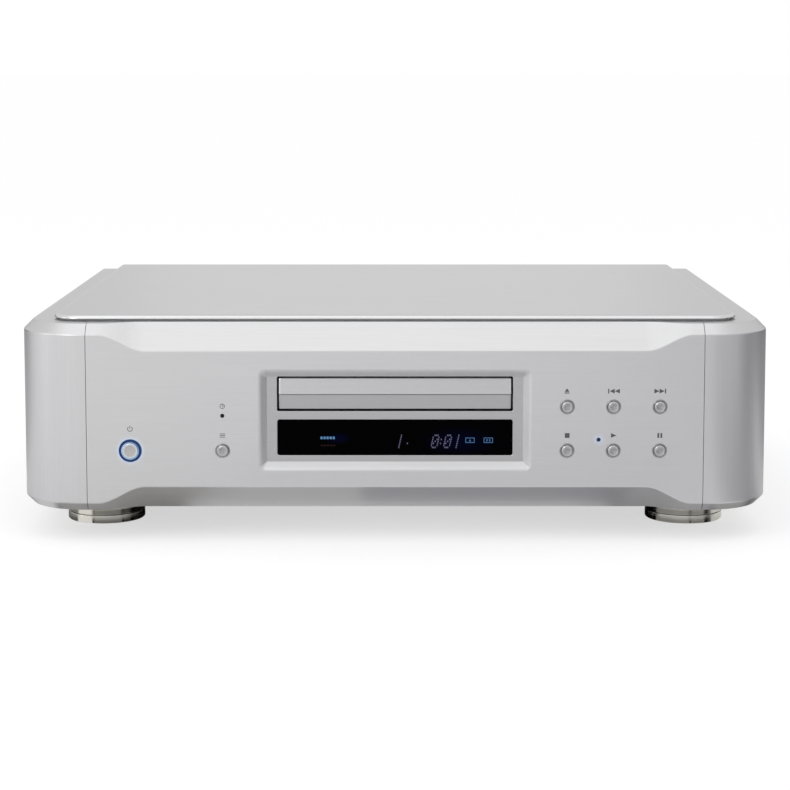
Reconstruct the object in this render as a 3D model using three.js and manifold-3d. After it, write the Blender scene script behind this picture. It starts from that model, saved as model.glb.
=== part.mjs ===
import * as THREE from "three";
import { mergeVertices } from "three/addons/utils/BufferGeometryUtils.js";
import Module from "manifold-3d";

// A free-standing disc player in brushed aluminium, in millimetres.
// +Z is up, the front faces -Y, and the origin is on the floor under the middle.

// Casing
const casingHalfWidth = 221;
const faceY = -175;
const casingRearY = 160;
const footHeight = 18;
const shellHeight = 110;
const shellBottom = footHeight;
const shellTop = shellBottom + shellHeight;
const cornerRadius = 38;
const cornerSteps = 8;
const seamHalfWidth = 179.8;
const seamGap = 0.3;
const fitGap = 0.3;

// A cutting tool runs this far past the face that it opens, and a joined form reaches this far in
const past = 1;
const rooted = 0.5;

// Section of the casing walls, measured inwards from the outer face
const frontWall = 11;
const sideWall = 8;
const flangeDepth = 25;
const flangeThickness = 12;
const rebateWidth = 8;
const bottomPlateThickness = 3;
const upperChamfer = { end: 6, middle: 15.5 };
const lowerChamfer = { end: 4.7, middle: 14.6 };
const chamferTurnOuter = 173.5;
const chamferTurnInner = 146;
const chamferTurnSteps = 8;

// Top plate
const topPlateThickness = 2.3;
const shadowGap = 1.2;
const shadowGapDepth = 3;
const topPlateHalfWidth = 202;
const topPlateSetback = 16.5;
const topPlateRearSetback = 1;
const topPlateCornerRadius = 16;
const topPlateEdgeFall = 2.1;
const topPlateEdgeRun = 3.8;
const topPlateEdgeSteps = 3;

// Rear panel
const rearPanelThickness = 3;
const rearPanelSetback = 2;

// Feet
const footRadius = 23.5;
const footX = 178.2;
const frontFootSetback = 71.8;
const rearFootSetback = 52;
const footBaseHeight = 4.8;
const footGroove = 0.4;
const footEdgeChamfer = 0.5;
const footNeckRadius = 21.5;

// Recess, tray opening and window in the front panel
const recessHalfWidth = 78.8;
const recessLow = 42.8;
const recessHigh = 100.9;
const recessDepth = 4;
const recessSideInset = 4.1;
const recessTopInset = 3.9;
const recessBottomInset = 4.1;
const recessCorner = 3;
const trayFrontHalfWidth = 67.6;
const trayFrontLow = 77.8;
const trayFrontHigh = 96.1;
const trayCreaseZ = 86.2;
const trayCreaseDepth = 1.6;
const trayFrontThickness = 9;
const trayFrontProud = 0.6;
const trayGapSide = 1.2;
const trayGapTop = 1;
const trayGapBottom = 1.2;
const windowHalfWidth = 68.7;
const windowLow = 50.5;
const windowHigh = 71.7;
const windowThickness = 3;
const windowSink = 0.2;
const windowClearance = 0.15;
const windowCorner = 1.2;

// Buttons and lamps: the hole, the cap and where each one sits (x, z)
const buttonCapRadius = 3.3;
const buttonHoleRadius = 4.1;
const buttonProud = 1.5;
const buttonDome = 0.8;
const buttonCrown = 0.24;
const buttonFlatShare = 0.62;
const buttonTravel = 1.2;
const buttonFlangeRadius = 5.4;
const buttonFlange = 1;
const buttonSides = 12;
const buttonHoleSides = 20;
const ringSides = 24;
const lampSides = 10;
const smallSides = 12;
const roundSides = 20;
const upperRowZ = 79.8;
const lowerRowZ = 54;
const buttonColumns = [100.2, 127.1, 154.1];
const modeX = -100.4;
const powerX = -154.2;
const powerCapRadius = 4.7;
const powerRingRadius = 6.4;
const powerRingGap = 0.3;
const powerHoleClearance = 0.2;
const powerFlangeRadius = 8;
const powerRingFlange = 1;
const lampRadius = 1.05;
const lampClearance = 0.2;
const lampFlangeRadius = 2;
const lampFlange = 0.9;
const lampProud = 0.2;
const playLamp = { x: 118.5, z: 60.5 };
const clockLamp = { x: modeX, z: 74.6 };

// Boards behind the front panel
const boardThickness = 1.6;
const frontBoardGap = 6;
const switchSize = 6;
const postRadius = 2.5;
const postSides = 8;
const displayModuleMargin = 2;

// Disc, tray and mechanism
const discRadius = 60;
const spindleY = -92;
const wellClearance = 1;
const wellSides = 40;
const trayFrontOverhang = 0.6;
const trayHalfWidth = trayFrontHalfWidth - trayFrontOverhang;
const trayBottom = 82;
const trayHeight = 8;
const trayWellDepth = 3;
const trayFloor = 1.8;
const trayTravel = 146;
const railEngagement = 24;
const traySlotHalfWidth = 18;
const trayWallThickness = 7;
const baseWall = 5.7;
const baseFloorThickness = 4;
const baseFrontY = -155;
const trayRearY = baseFrontY + trayTravel + railEngagement;
const baseRearY = 20;
const railLedge = 2.7;
const railThickness = 4;
const railLip = 1.5;
const upperRailHeight = 4;
const traversePostInset = 6;
const axleHeight = 10;
const baseOpeningMargin = 18;
const postMargin = 5;
const legRadius = 6;
const legInset = 8;
const bridgeThickness = 2;
const bridgeHalfLength = 33;
const clampNeckRadius = 8.5;
const clampRadius = 15;
const clampFlangeRadius = 12;
const clampFlangeHeight = 1.5;
const clampDiscGap = 0.4;
const clampBridgeGap = 0.6;
const platterRadius = 14;
const platterLift = 2;
const platterRim = 1.5;
const platterHubRadius = 3;
const platterHubRise = 2;
const discHoleRadius = 7.5;
const discHoleClearance = 0.1;
const coneTaper = 2;
const coneHeight = 1.5;

// Loading train: real involute gears with backlash
const rackModule = 1;
const rackPinionTeeth = 18;
const trainModule = 0.8;
const trainGearTeeth = 36;
const trainPinionTeeth = 14;
const backlash = 0.3;
const gearY = -138;
const rackThickness = 4;
const rackRib = 3.9;
const rackFrontInset = 2;
const rackRearInset = 1;
const gearFace = 4;
const gearStep = 2;
const pinionTopGap = 0.5;
const gearHubRadius = 5;
const gearFootRadius = 3.5;
const pulleyStep = 1;
const pulleyFootRadius = 3.2;
const pulleyRadius = 12;
const motorPulleyRadius = 3;
const motorShaftRadius = 1;
const motorHoleClearance = 1;
const pulleySpacing = 35;
const beltThickness = 1.2;
const motorRadius = 12;
const motorHeight = 22;
const axleRadius = 1.5;

// Traverse and pickup
const traverseDrop = 6;
const traverseFloorClearance = 6;
const traverseHalfWidth = 56;
const traverseThickness = 2.5;
const traverseTop = 78.5;
const traverseFrontY = -121;
const traverseRearY = 12;
const traversePostRadius = 3;
const traversePostX = 50;
const traversePostRise = 1.5;
const spindleMotorRadius = 13;
const spindleMotorHeight = 10;
const traverseBottom = traverseTop - traverseThickness;
const baseFloorTop = traverseBottom - spindleMotorHeight - traverseDrop - traverseFloorClearance;
const baseFloorZ = baseFloorTop - baseFloorThickness;
const rodX = 24;
const rodRadius = 1.5;
const rodZ = 70;
const bracketDrop = 4;
const bracketMargin = 4;
const bracketSeat = 0.5;
const spindleHoleRadius = 5;
const rodFrontY = -74.5;
const bracketThickness = 3;
const sledTravel = 34;
const sledLength = 22;
const sledHalfWidth = 28;
const sledSideGap = 1;
const sledFrontY = -73;
const sledStopRoom = 11;
const rodRearY = sledFrontY + sledLength + sledTravel + sledStopRoom;
const sledLow = -3.5;
const sledHigh = 4.5;
const lensHalfWidth = 9;
const lensBlockInset = 2;
const lensRadius = 3.5;
const lensRise = 1;
const lensTop = 83;
const nutInset = 4;
const nutHalfHeight = 1.5;
const leadScrewX = 33;
const leadScrewRadius = 1.5;
const sledMotorLength = 17;

// Electronics
const transformerRadius = 50;
const transformerHeight = 55;
const transformerY = -60;
const boardStandoff = 9;
const boardInset = 5;
const boardSideGap = 2.5;
const displayBoardGap = 2;

// Rear connectors: place (x, z)
const connectorReach = 16.5;
const socketEndMargin = 61;
const socketSpacing = 48;
const digitalSpacing = 54;
const inletEndMargin = 56;
const lowSocketZ = 58;
const highSocketZ = 98;
const inletZ = 62;
const rightSocketX = casingHalfWidth - socketEndMargin;
const leftSocketX = rightSocketX - socketSpacing;
const mainsInlet = { x: inletEndMargin - casingHalfWidth, z: inletZ };
const balancedPlaces = [{ side: "left", x: leftSocketX }, { side: "right", x: rightSocketX }];
const digitalOut = { x: leftSocketX - digitalSpacing, z: highSocketZ };
const clockIn = { x: leftSocketX - digitalSpacing, z: lowSocketZ };
const connectorFit = 0.3;
const connectorDepth = 12;
const phonoBodyRadius = 4.5;
const clockBodyRadius = 6;

const wasm = await Module();
wasm.setup();

// Materials, one to each mesh
const finishes = {
  brushedAluminium: { color: 0xc8c8c8, roughness: 0.35, metalness: 1 },
  darkSteel: { color: 0x6a6d70, roughness: 0.5, metalness: 0.8 },
  polishedSteel: { color: 0xdadada, roughness: 0.12, metalness: 1 },
  blackGlass: { color: 0x050506, roughness: 0.08, metalness: 0 },
  blackPlastic: { color: 0x1c1c1e, roughness: 0.6, metalness: 0 },
  whitePlastic: { color: 0xd8d6cf, roughness: 0.5, metalness: 0 },
  blueLight: { color: 0x2038d0, roughness: 0.3, metalness: 0 },
  circuitBoard: { color: 0x1d5a34, roughness: 0.6, metalness: 0 },
  rubber: { color: 0x141414, roughness: 0.9, metalness: 0 },
  gold: { color: 0xd8b050, roughness: 0.25, metalness: 1 },
};

const player = new THREE.Group();

function add(name, geometry, finish, x = 0, y = 0, z = 0) {
  const mesh = new THREE.Mesh(geometry, new THREE.MeshStandardMaterial(finishes[finish]));
  mesh.name = name;
  mesh.position.set(x, y, z);
  player.add(mesh);
  return mesh;
}

// Joining and cutting

function solidOf(geometry) {
  const bare = geometry.clone();
  bare.deleteAttribute("normal");
  bare.deleteAttribute("uv");
  const merged = mergeVertices(bare, 1e-4);
  return new wasm.Manifold(new wasm.Mesh({
    numProp: 3,
    vertProperties: merged.attributes.position.array,
    triVerts: new Uint32Array(merged.index.array),
  }));
}

function geometryOf(solid) {
  const mesh = solid.getMesh();
  const geometry = new THREE.BufferGeometry();
  geometry.setAttribute("position", new THREE.BufferAttribute(mesh.vertProperties, 3));
  geometry.setIndex(new THREE.BufferAttribute(mesh.triVerts, 1));
  return geometry;
}

function join(first, ...others) {
  let solid = solidOf(first);
  for (const other of others) solid = solid.add(solidOf(other));
  return geometryOf(solid);
}

function cut(first, ...tools) {
  let solid = solidOf(first);
  for (const tool of tools) solid = solid.subtract(solidOf(tool));
  return geometryOf(solid);
}

// Simple forms

function box(x0, x1, y0, y1, z0, z1) {
  const geometry = new THREE.BoxGeometry(x1 - x0, y1 - y0, z1 - z0);
  return geometry.translate((x0 + x1) / 2, (y0 + y1) / 2, (z0 + z1) / 2);
}

// A turned piece on the Y axis: the profile is a list of [radius, y] from the axis back to the axis
function turned(profile, sides) {
  return new THREE.LatheGeometry(profile.map(([r, y]) => new THREE.Vector2(r, y)), sides);
}

// The same on the Z axis, with a profile of [radius, z]
function turnedUp(profile, sides) {
  return turned(profile, sides).rotateX(Math.PI / 2);
}

function rod(radius, y0, y1, x, z, sides = 16) {
  return turned([[0, y0], [radius, y0], [radius, y1], [0, y1]], sides).translate(x, 0, z);
}

function post(radius, z0, z1, x, y, sides = 16) {
  return turnedUp([[0, z0], [radius, z0], [radius, z1], [0, z1]], sides).translate(x, y, 0);
}

// A solid through cross-sections that have the same number of points
function loft(sections) {
  const count = sections[0].length;
  const positions = sections.flat().flatMap((p) => [p.x, p.y, p.z]);
  const index = [];
  for (let s = 0; s + 1 < sections.length; s += 1) {
    for (let i = 0; i < count; i += 1) {
      const j = (i + 1) % count;
      const a = s * count + i;
      const b = s * count + j;
      index.push(a, b, b + count, a, b + count, a + count);
    }
  }
  const last = (sections.length - 1) * count;
  const flat = flatSection(sections[0]);
  for (const [a, b, c] of THREE.ShapeUtils.triangulateShape(flat, [])) {
    index.push(a, c, b);
    index.push(last + a, last + b, last + c);
  }
  const geometry = new THREE.BufferGeometry();
  geometry.setAttribute("position", new THREE.Float32BufferAttribute(positions, 3));
  geometry.setIndex(index);
  return geometry;
}

// A section's points in its own plane, for closing the ends of a loft
function flatSection(points) {
  const normal = new THREE.Vector3();
  for (let i = 0; i < points.length; i += 1) {
    const next = points[(i + 1) % points.length];
    normal.add(new THREE.Vector3().crossVectors(points[i], next));
  }
  normal.normalize();
  const across = new THREE.Vector3(0, 0, 1).cross(normal);
  if (across.lengthSq() < 1e-6) across.set(1, 0, 0);
  across.normalize();
  const up = new THREE.Vector3().crossVectors(normal, across);
  return points.map((p) => new THREE.Vector2(p.dot(across), p.dot(up)));
}

function roundedRectangle(x0, x1, z0, z1, radius) {
  const shape = new THREE.Shape();
  shape.absarc(x1 - radius, z0 + radius, radius, -Math.PI / 2, 0);
  shape.absarc(x1 - radius, z1 - radius, radius, 0, Math.PI / 2);
  shape.absarc(x0 + radius, z1 - radius, radius, Math.PI / 2, Math.PI);
  shape.absarc(x0 + radius, z0 + radius, radius, Math.PI, 1.5 * Math.PI);
  return shape;
}

// A flat outline (x, z) as a plate between two depths y
function plateFacingFront(shape, y0, y1, curveSegments = 3) {
  const geometry = new THREE.ExtrudeGeometry(shape, {
    depth: y1 - y0, bevelEnabled: false, curveSegments,
  });
  return geometry.rotateX(Math.PI / 2).translate(0, y1, 0);
}

// A flat outline (x, y) as a plate between two heights z
function plateLyingFlat(shape, z0, z1, curveSegments = 6) {
  const geometry = new THREE.ExtrudeGeometry(shape, {
    depth: z1 - z0, bevelEnabled: false, curveSegments,
  });
  return geometry.translate(0, 0, z0);
}

// Casing walls: one channel section, run straight along the front and round each corner

function wallSection(wall, low, high) {
  const lip = flangeDepth - rebateWidth;
  return [
    [low, 0],
    [lip, 0],
    [lip, bottomPlateThickness],
    [flangeDepth, bottomPlateThickness],
    [flangeDepth, flangeThickness],
    [wall, flangeThickness],
    [wall, shellHeight - flangeThickness],
    [flangeDepth, shellHeight - flangeThickness],
    [flangeDepth, shellHeight],
    [high, shellHeight],
    [0, shellHeight - high],
    [0, low],
  ];
}

function chamferAt(chamfer, x) {
  const share = (chamferTurnOuter - Math.abs(x)) / (chamferTurnOuter - chamferTurnInner);
  const eased = THREE.MathUtils.smoothstep(share, 0, 1);
  return chamfer.end + (chamfer.middle - chamfer.end) * eased;
}

function frontPanelBlank() {
  const stations = [seamHalfWidth - seamGap];
  for (let i = 0; i <= chamferTurnSteps; i += 1) {
    const share = i / chamferTurnSteps;
    stations.push(chamferTurnOuter + (chamferTurnInner - chamferTurnOuter) * share);
  }
  const all = [...stations.map((x) => -x), ...stations.reverse()];
  const sections = all.map((x) => {
    const section = wallSection(frontWall, chamferAt(lowerChamfer, x), chamferAt(upperChamfer, x));
    return section.map(([depth, height]) => new THREE.Vector3(x, faceY + depth, shellBottom + height));
  });
  return loft(sections);
}

function sidePanel(side) {
  const centreX = casingHalfWidth - cornerRadius;
  const centreY = faceY + cornerRadius;
  const section = wallSection(sideWall, lowerChamfer.end, upperChamfer.end);
  const place = (outerX, outerY, inX, inY) => section.map(([depth, height]) => new THREE.Vector3(
    side * (outerX + inX * depth), outerY + inY * depth, shellBottom + height,
  ));
  const sections = [place(seamHalfWidth, faceY, 0, 1)];
  for (let i = 0; i <= cornerSteps; i += 1) {
    const angle = -Math.PI / 2 + (i / cornerSteps) * (Math.PI / 2);
    const x = Math.cos(angle);
    const y = Math.sin(angle);
    sections.push(place(centreX + cornerRadius * x, centreY + cornerRadius * y, -x, -y));
  }
  sections.push(place(casingHalfWidth, casingRearY, -1, 0));
  return side > 0 ? loft(sections) : loft(sections.reverse());
}

// Outline of what lies between the casing walls, at a depth in from the outer face
function innerOutline(depth, rearY) {
  const half = casingHalfWidth - depth;
  const radius = cornerRadius - depth;
  const front = faceY + depth;
  const shape = new THREE.Shape();
  shape.moveTo(half, rearY);
  shape.lineTo(-half, rearY);
  shape.absarc(-half + radius, front + radius, radius, Math.PI, 1.5 * Math.PI);
  shape.absarc(half - radius, front + radius, radius, -Math.PI / 2, 0);
  return shape;
}

// Front panel with its recess, openings and holes

const recessFloorY = faceY + recessDepth;
const wallBackY = faceY + frontWall;

function recessTool() {
  const outer = roundedRectangle(-recessHalfWidth, recessHalfWidth, recessLow, recessHigh, recessCorner);
  const floor = roundedRectangle(
    -recessHalfWidth + recessSideInset, recessHalfWidth - recessSideInset,
    recessLow + recessBottomInset, recessHigh - recessTopInset, recessCorner,
  );
  const ring = (shape, y) => shape.getPoints(3).slice(0, -1).map((p) => new THREE.Vector3(p.x, y, p.y));
  const lean = (y) => (y - faceY) / recessDepth;
  const blend = (y) => ring(outer, y).map((p, i) => p.lerp(ring(floor, y)[i], lean(y)));
  return loft([blend(recessFloorY), blend(faceY - past)]);
}

const openingHalfWidth = trayFrontHalfWidth + trayGapSide;
const openingLow = trayFrontLow - trayGapBottom;
const openingHigh = trayFrontHigh + trayGapTop;

const smallButtons = [
  { name: "open_button", x: buttonColumns[0], z: upperRowZ },
  { name: "previous_button", x: buttonColumns[1], z: upperRowZ },
  { name: "next_button", x: buttonColumns[2], z: upperRowZ },
  { name: "stop_button", x: buttonColumns[0], z: lowerRowZ },
  { name: "play_button", x: buttonColumns[1], z: lowerRowZ },
  { name: "pause_button", x: buttonColumns[2], z: lowerRowZ },
  { name: "mode_button", x: modeX, z: lowerRowZ },
];

function frontPanel() {
  const through = [faceY - past, wallBackY + past];
  const tools = [
    recessTool(),
    box(-openingHalfWidth, openingHalfWidth, ...through, openingLow, openingHigh),
    plateFacingFront(
      roundedRectangle(-windowHalfWidth, windowHalfWidth, windowLow, windowHigh, windowCorner), ...through,
    ),
    rod(powerRingRadius + powerHoleClearance, ...through, powerX, lowerRowZ, ringSides),
  ];
  for (const button of smallButtons) {
    tools.push(rod(buttonHoleRadius, ...through, button.x, button.z, buttonHoleSides));
  }
  for (const lamp of [playLamp, clockLamp]) {
    tools.push(rod(lampRadius + lampClearance, ...through, lamp.x, lamp.z, lampSides));
  }
  return cut(frontPanelBlank(), ...tools);
}

add("front_panel", frontPanel(), "brushedAluminium");
add("side_panel_left", sidePanel(-1), "brushedAluminium");
add("side_panel_right", sidePanel(1), "brushedAluminium");

// Top plate: a wide plate over a smaller step, so that a shadow gap shows all round its edge

function topPlateOutline(inset) {
  const half = topPlateHalfWidth - inset;
  const front = faceY + topPlateSetback + inset;
  const rear = casingRearY - topPlateRearSetback - inset;
  const radius = topPlateCornerRadius - inset;
  const shape = new THREE.Shape();
  shape.moveTo(half, rear);
  shape.lineTo(-half, rear);
  shape.absarc(-half + radius, front + radius, radius, Math.PI, 1.5 * Math.PI);
  shape.absarc(half - radius, front + radius, radius, -Math.PI / 2, 0);
  return shape;
}

function topPlate() {
  const low = shellTop + shadowGap;
  const high = low + topPlateThickness;
  const points = (inset, z) => topPlateOutline(inset).getPoints(cornerSteps).map(
    (p) => new THREE.Vector3(p.x, p.y, z),
  );
  const sections = [
    points(shadowGapDepth, shellTop),
    points(shadowGapDepth, low),
    points(0, low),
  ];
  for (let i = 0; i <= topPlateEdgeSteps; i += 1) {
    const angle = (i / topPlateEdgeSteps) * (Math.PI / 2);
    const inset = topPlateEdgeRun * (1 - Math.cos(angle));
    sections.push(points(inset, high - topPlateEdgeFall * (1 - Math.sin(angle))));
  }
  return loft(sections);
}

add("top_plate", topPlate(), "brushedAluminium");

// Bottom plate in the rebate of the walls, and rear panel let into the side channels

const bottomPlateTop = shellBottom + bottomPlateThickness;
add(
  "bottom_plate",
  plateLyingFlat(innerOutline(flangeDepth - rebateWidth + fitGap, casingRearY), shellBottom, bottomPlateTop),
  "darkSteel",
);

const rearOuterY = casingRearY - rearPanelSetback;
const rearInnerY = rearOuterY - rearPanelThickness;

function rearPanelBlank() {
  const wide = casingHalfWidth - sideWall - fitGap;
  const narrow = casingHalfWidth - flangeDepth - fitGap;
  const low = shellBottom + flangeThickness + fitGap;
  const high = shellTop - flangeThickness - fitGap;
  return join(
    box(-wide, wide, rearInnerY, rearOuterY, low, high),
    box(-narrow, narrow, rearInnerY, rearOuterY, bottomPlateTop, shellTop),
  );
}

// Feet: a turned body under the bottom plate, and a base that the body's spike stands in

const feet = [
  { name: "front_left", x: -footX, y: faceY + frontFootSetback },
  { name: "front_right", x: footX, y: faceY + frontFootSetback },
  { name: "rear_left", x: -footX, y: casingRearY - rearFootSetback },
  { name: "rear_right", x: footX, y: casingRearY - rearFootSetback },
];
const footSides = 20;
for (const foot of feet) {
  const edge = footEdgeChamfer;
  const low = footBaseHeight + footGroove;
  const base = turnedUp([
    [0, 0], [footRadius - edge, 0], [footRadius, edge], [footRadius, footBaseHeight], [0, footBaseHeight],
  ], footSides);
  const body = turnedUp([
    [0, footBaseHeight], [footNeckRadius, footBaseHeight], [footNeckRadius, low], [footRadius, low],
    [footRadius, footHeight - edge], [footRadius - edge, footHeight], [0, footHeight],
  ], footSides);
  add(`foot_base_${foot.name}`, base, "polishedSteel", foot.x, foot.y);
  add(`foot_${foot.name}`, body, "polishedSteel", foot.x, foot.y);
}

// Window and display

function windowPane() {
  const gap = windowClearance;
  const shape = roundedRectangle(
    -windowHalfWidth + gap, windowHalfWidth - gap, windowLow + gap, windowHigh - gap, windowCorner,
  );
  const front = recessFloorY + windowSink;
  return plateFacingFront(shape, front, front + windowThickness);
}

const boardFrontY = wallBackY + frontBoardGap;
const boardBackY = boardFrontY + boardThickness;
const displayHalfWidth = windowHalfWidth + displayModuleMargin;
const displayLow = windowLow - displayModuleMargin;
const displayHigh = windowHigh + displayModuleMargin;
add("display_window", windowPane(), "blackGlass");
add(
  "display_module",
  join(
    box(-displayHalfWidth, displayHalfWidth, wallBackY, boardFrontY, displayLow, displayHigh),
    box(
      -windowHalfWidth + rooted, windowHalfWidth - rooted,
      recessFloorY + windowSink + windowThickness, wallBackY + rooted,
      windowLow + rooted, windowHigh - rooted,
    ),
  ),
  "blackPlastic",
);
const displayBoardLow = shellBottom + flangeThickness + displayBoardGap;
add(
  "display_board",
  box(-displayHalfWidth, displayHalfWidth, boardFrontY, boardBackY, displayBoardLow, displayHigh),
  "circuitBoard",
);

// Buttons: the cap shows in the hole, the flange behind the panel keeps it in

const flangeFrontDepth = frontWall + fitGap;

function button(capRadius, flangeRadius, flangeFront) {
  const flat = capRadius * buttonFlatShare;
  return turned([
    [0, -buttonProud], [flat, -buttonProud + buttonCrown], [capRadius, -buttonProud + buttonDome],
    [capRadius, flangeFront], [flangeRadius, flangeFront],
    [flangeRadius, flangeFront + buttonFlange], [0, flangeFront + buttonFlange],
  ], buttonSides);
}

for (const { name, x, z } of smallButtons) {
  add(name, button(buttonCapRadius, buttonFlangeRadius, flangeFrontDepth), "polishedSteel", x, faceY, z);
}
const powerFlangeFront = frontWall + powerRingFlange + 2 * fitGap;
add("power_button", button(powerCapRadius, powerFlangeRadius, powerFlangeFront), "polishedSteel",
  powerX, faceY, lowerRowZ);

const powerRingBack = frontWall + powerRingFlange;
const powerRing = cut(
  turned([
    [0, 0], [powerRingRadius, 0], [powerRingRadius, frontWall], [powerFlangeRadius, frontWall],
    [powerFlangeRadius, powerRingBack], [0, powerRingBack],
  ], ringSides),
  rod(powerCapRadius + powerRingGap, -past, powerRingBack + past, 0, 0, buttonSides),
);
add("power_ring", powerRing, "blueLight", powerX, faceY, lowerRowZ);

for (const [name, place] of [["play_lamp", playLamp], ["clock_lamp", clockLamp]]) {
  const lens = turned([
    [0, -lampProud], [lampRadius, 0], [lampRadius, frontWall], [lampFlangeRadius, frontWall],
    [lampFlangeRadius, frontWall + lampFlange], [0, frontWall + lampFlange],
  ], lampSides);
  add(name, lens, "blueLight", place.x, faceY, place.z);
}

// Key boards: posts hold them off the panel, and a switch stands behind each button

function keySwitch(x, z, flangeFront) {
  const top = faceY + flangeFront + buttonFlange + buttonTravel + fitGap;
  const half = switchSize / 2;
  return box(x - half, x + half, top, boardFrontY + rooted, z - half, z + half);
}

function keyBoard(x0, x1, z0, z1, switches) {
  const inset = boardInset;
  const posts = [];
  for (const x of [x0 + inset, x1 - inset]) {
    for (const z of [z0 + inset, z1 - inset]) {
      posts.push(rod(postRadius, wallBackY, boardFrontY + rooted, x, z, postSides));
    }
  }
  return join(box(x0, x1, boardFrontY, boardBackY, z0, z1), ...posts, ...switches);
}

const keyBoardMargin = 16;
const rightKeys = smallButtons.filter((b) => b.x > 0).map(
  (b) => keySwitch(b.x, b.z, flangeFrontDepth),
);
const leftKeys = [
  keySwitch(modeX, lowerRowZ, flangeFrontDepth),
  keySwitch(powerX, lowerRowZ, powerFlangeFront),
];
add("key_board_right", keyBoard(
  buttonColumns[0] - keyBoardMargin, buttonColumns[2] + keyBoardMargin,
  lowerRowZ - keyBoardMargin, upperRowZ + keyBoardMargin, rightKeys,
), "circuitBoard");
add("key_board_left", keyBoard(
  powerX - keyBoardMargin, modeX + keyBoardMargin,
  lowerRowZ - keyBoardMargin, clockLamp.z + keyBoardMargin, leftKeys,
), "circuitBoard");

// Gears: involute flanks, thinned by half the backlash on each gear

const pressureAngle = THREE.MathUtils.degToRad(20);
const addendum = 0.9;
const dedendum = 1.25;

function gearBlank(teeth, module, z0, z1, turn = 0) {
  const pitch = (teeth * module) / 2;
  const base = pitch * Math.cos(pressureAngle);
  const root = pitch - dedendum * module;
  const tip = pitch + addendum * module;
  const involute = (r) => {
    const angle = Math.acos(Math.min(1, base / r));
    return Math.tan(angle) - angle;
  };
  const halfAt = (r) => Math.PI / (2 * teeth) - backlash / (4 * pitch)
    + involute(pitch) - involute(Math.max(r, base));
  const radii = base > root + fitGap ? [root, base, pitch, tip] : [root, pitch, tip];
  const points = [];
  for (let k = 0; k < teeth; k += 1) {
    const centre = turn + (k / teeth) * 2 * Math.PI;
    for (const r of radii) points.push([r, centre - halfAt(r)]);
    for (const r of [...radii].reverse()) points.push([r, centre + halfAt(r)]);
  }
  const shape = new THREE.Shape(points.map(([r, a]) => new THREE.Vector2(r * Math.cos(a), r * Math.sin(a))));
  return plateLyingFlat(shape, z0, z1);
}

// Tray: a moulded plate with a disc well, a slot for the platter and pickup, and a rack underneath

const trayTop = trayBottom + trayHeight;
const wellFloor = trayTop - trayWellDepth;
const trayFrontY = recessFloorY - trayFrontProud + trayCreaseDepth + trayFrontThickness;
const rackRootX = -trayHalfWidth + railLedge + rackRib;
const rackPitchX = rackRootX + dedendum * rackModule;
const rackLow = trayBottom - rackThickness;

function rack() {
  const pitch = Math.PI * rackModule;
  const slope = Math.tan(pressureAngle);
  const tipX = rackPitchX + addendum * rackModule;
  const half = (x) => pitch / 4 - backlash / 4 - (x - rackPitchX) * slope;
  const front = trayFrontY + rackFrontInset;
  const rear = trayRearY - rackRearInset;
  const shape = new THREE.Shape();
  shape.moveTo(rackRootX - rackRib + fitGap, rear);
  shape.lineTo(rackRootX - rackRib + fitGap, front);
  shape.lineTo(rackRootX, front);
  const first = Math.ceil((front - gearY) / pitch - 0.5) + 1;
  const last = Math.floor((rear - gearY) / pitch - 0.5) - 1;
  for (let k = first; k <= last; k += 1) {
    const y = gearY + (k + 0.5) * pitch;
    shape.lineTo(rackRootX, y - half(rackRootX));
    shape.lineTo(tipX, y - half(tipX));
    shape.lineTo(tipX, y + half(tipX));
    shape.lineTo(rackRootX, y + half(rackRootX));
  }
  shape.lineTo(rackRootX, rear);
  return plateLyingFlat(shape, rackLow, trayBottom + rooted);
}

function tray() {
  const half = trayHalfWidth;
  const wall = trayWallThickness;
  const slotRear = trayRearY + past;
  const blank = box(-half, half, trayFrontY, trayRearY, trayBottom, trayTop);
  const body = cut(
    blank,
    box(
      -half + wall, half - wall, trayFrontY + wall, trayRearY - wall,
      trayBottom - past, wellFloor - trayFloor,
    ),
    post(discRadius + wellClearance, wellFloor, trayTop + past, 0, spindleY, wellSides),
    post(traySlotHalfWidth, trayBottom - past, trayTop + past, 0, spindleY, roundSides),
    box(-traySlotHalfWidth, traySlotHalfWidth, spindleY, slotRear, trayBottom - past, trayTop + past),
  );
  return join(body, rack());
}

function trayFront() {
  const creaseY = recessFloorY - trayFrontProud;
  const edgeY = creaseY + trayCreaseDepth;
  const section = [
    [trayFrontY, trayFrontLow], [trayFrontY, trayFrontHigh], [edgeY, trayFrontHigh],
    [creaseY, trayCreaseZ], [edgeY, trayFrontLow],
  ];
  const at = (x) => section.map(([y, z]) => new THREE.Vector3(x, y, z));
  return loft([at(-trayFrontHalfWidth), at(trayFrontHalfWidth)]);
}

add("tray", tray(), "blackPlastic");
add("tray_front", trayFront(), "brushedAluminium");

// Mechanism base: floor, two side walls with rails above and below the tray, and its legs

const baseInner = trayHalfWidth + fitGap;
const baseOuter = baseInner + baseWall;
const baseTop = trayTop + upperRailHeight;
const drivePinionX = rackPitchX + (rackPinionTeeth * rackModule) / 2;
const trainDistance = ((trainGearTeeth + trainPinionTeeth) * trainModule) / 2;
const pulleyGearX = drivePinionX + trainDistance;
const motorX = pulleyGearX + pulleySpacing;
const traversePostYs = [traverseFrontY + traversePostInset, traverseRearY - traversePostInset];

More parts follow.
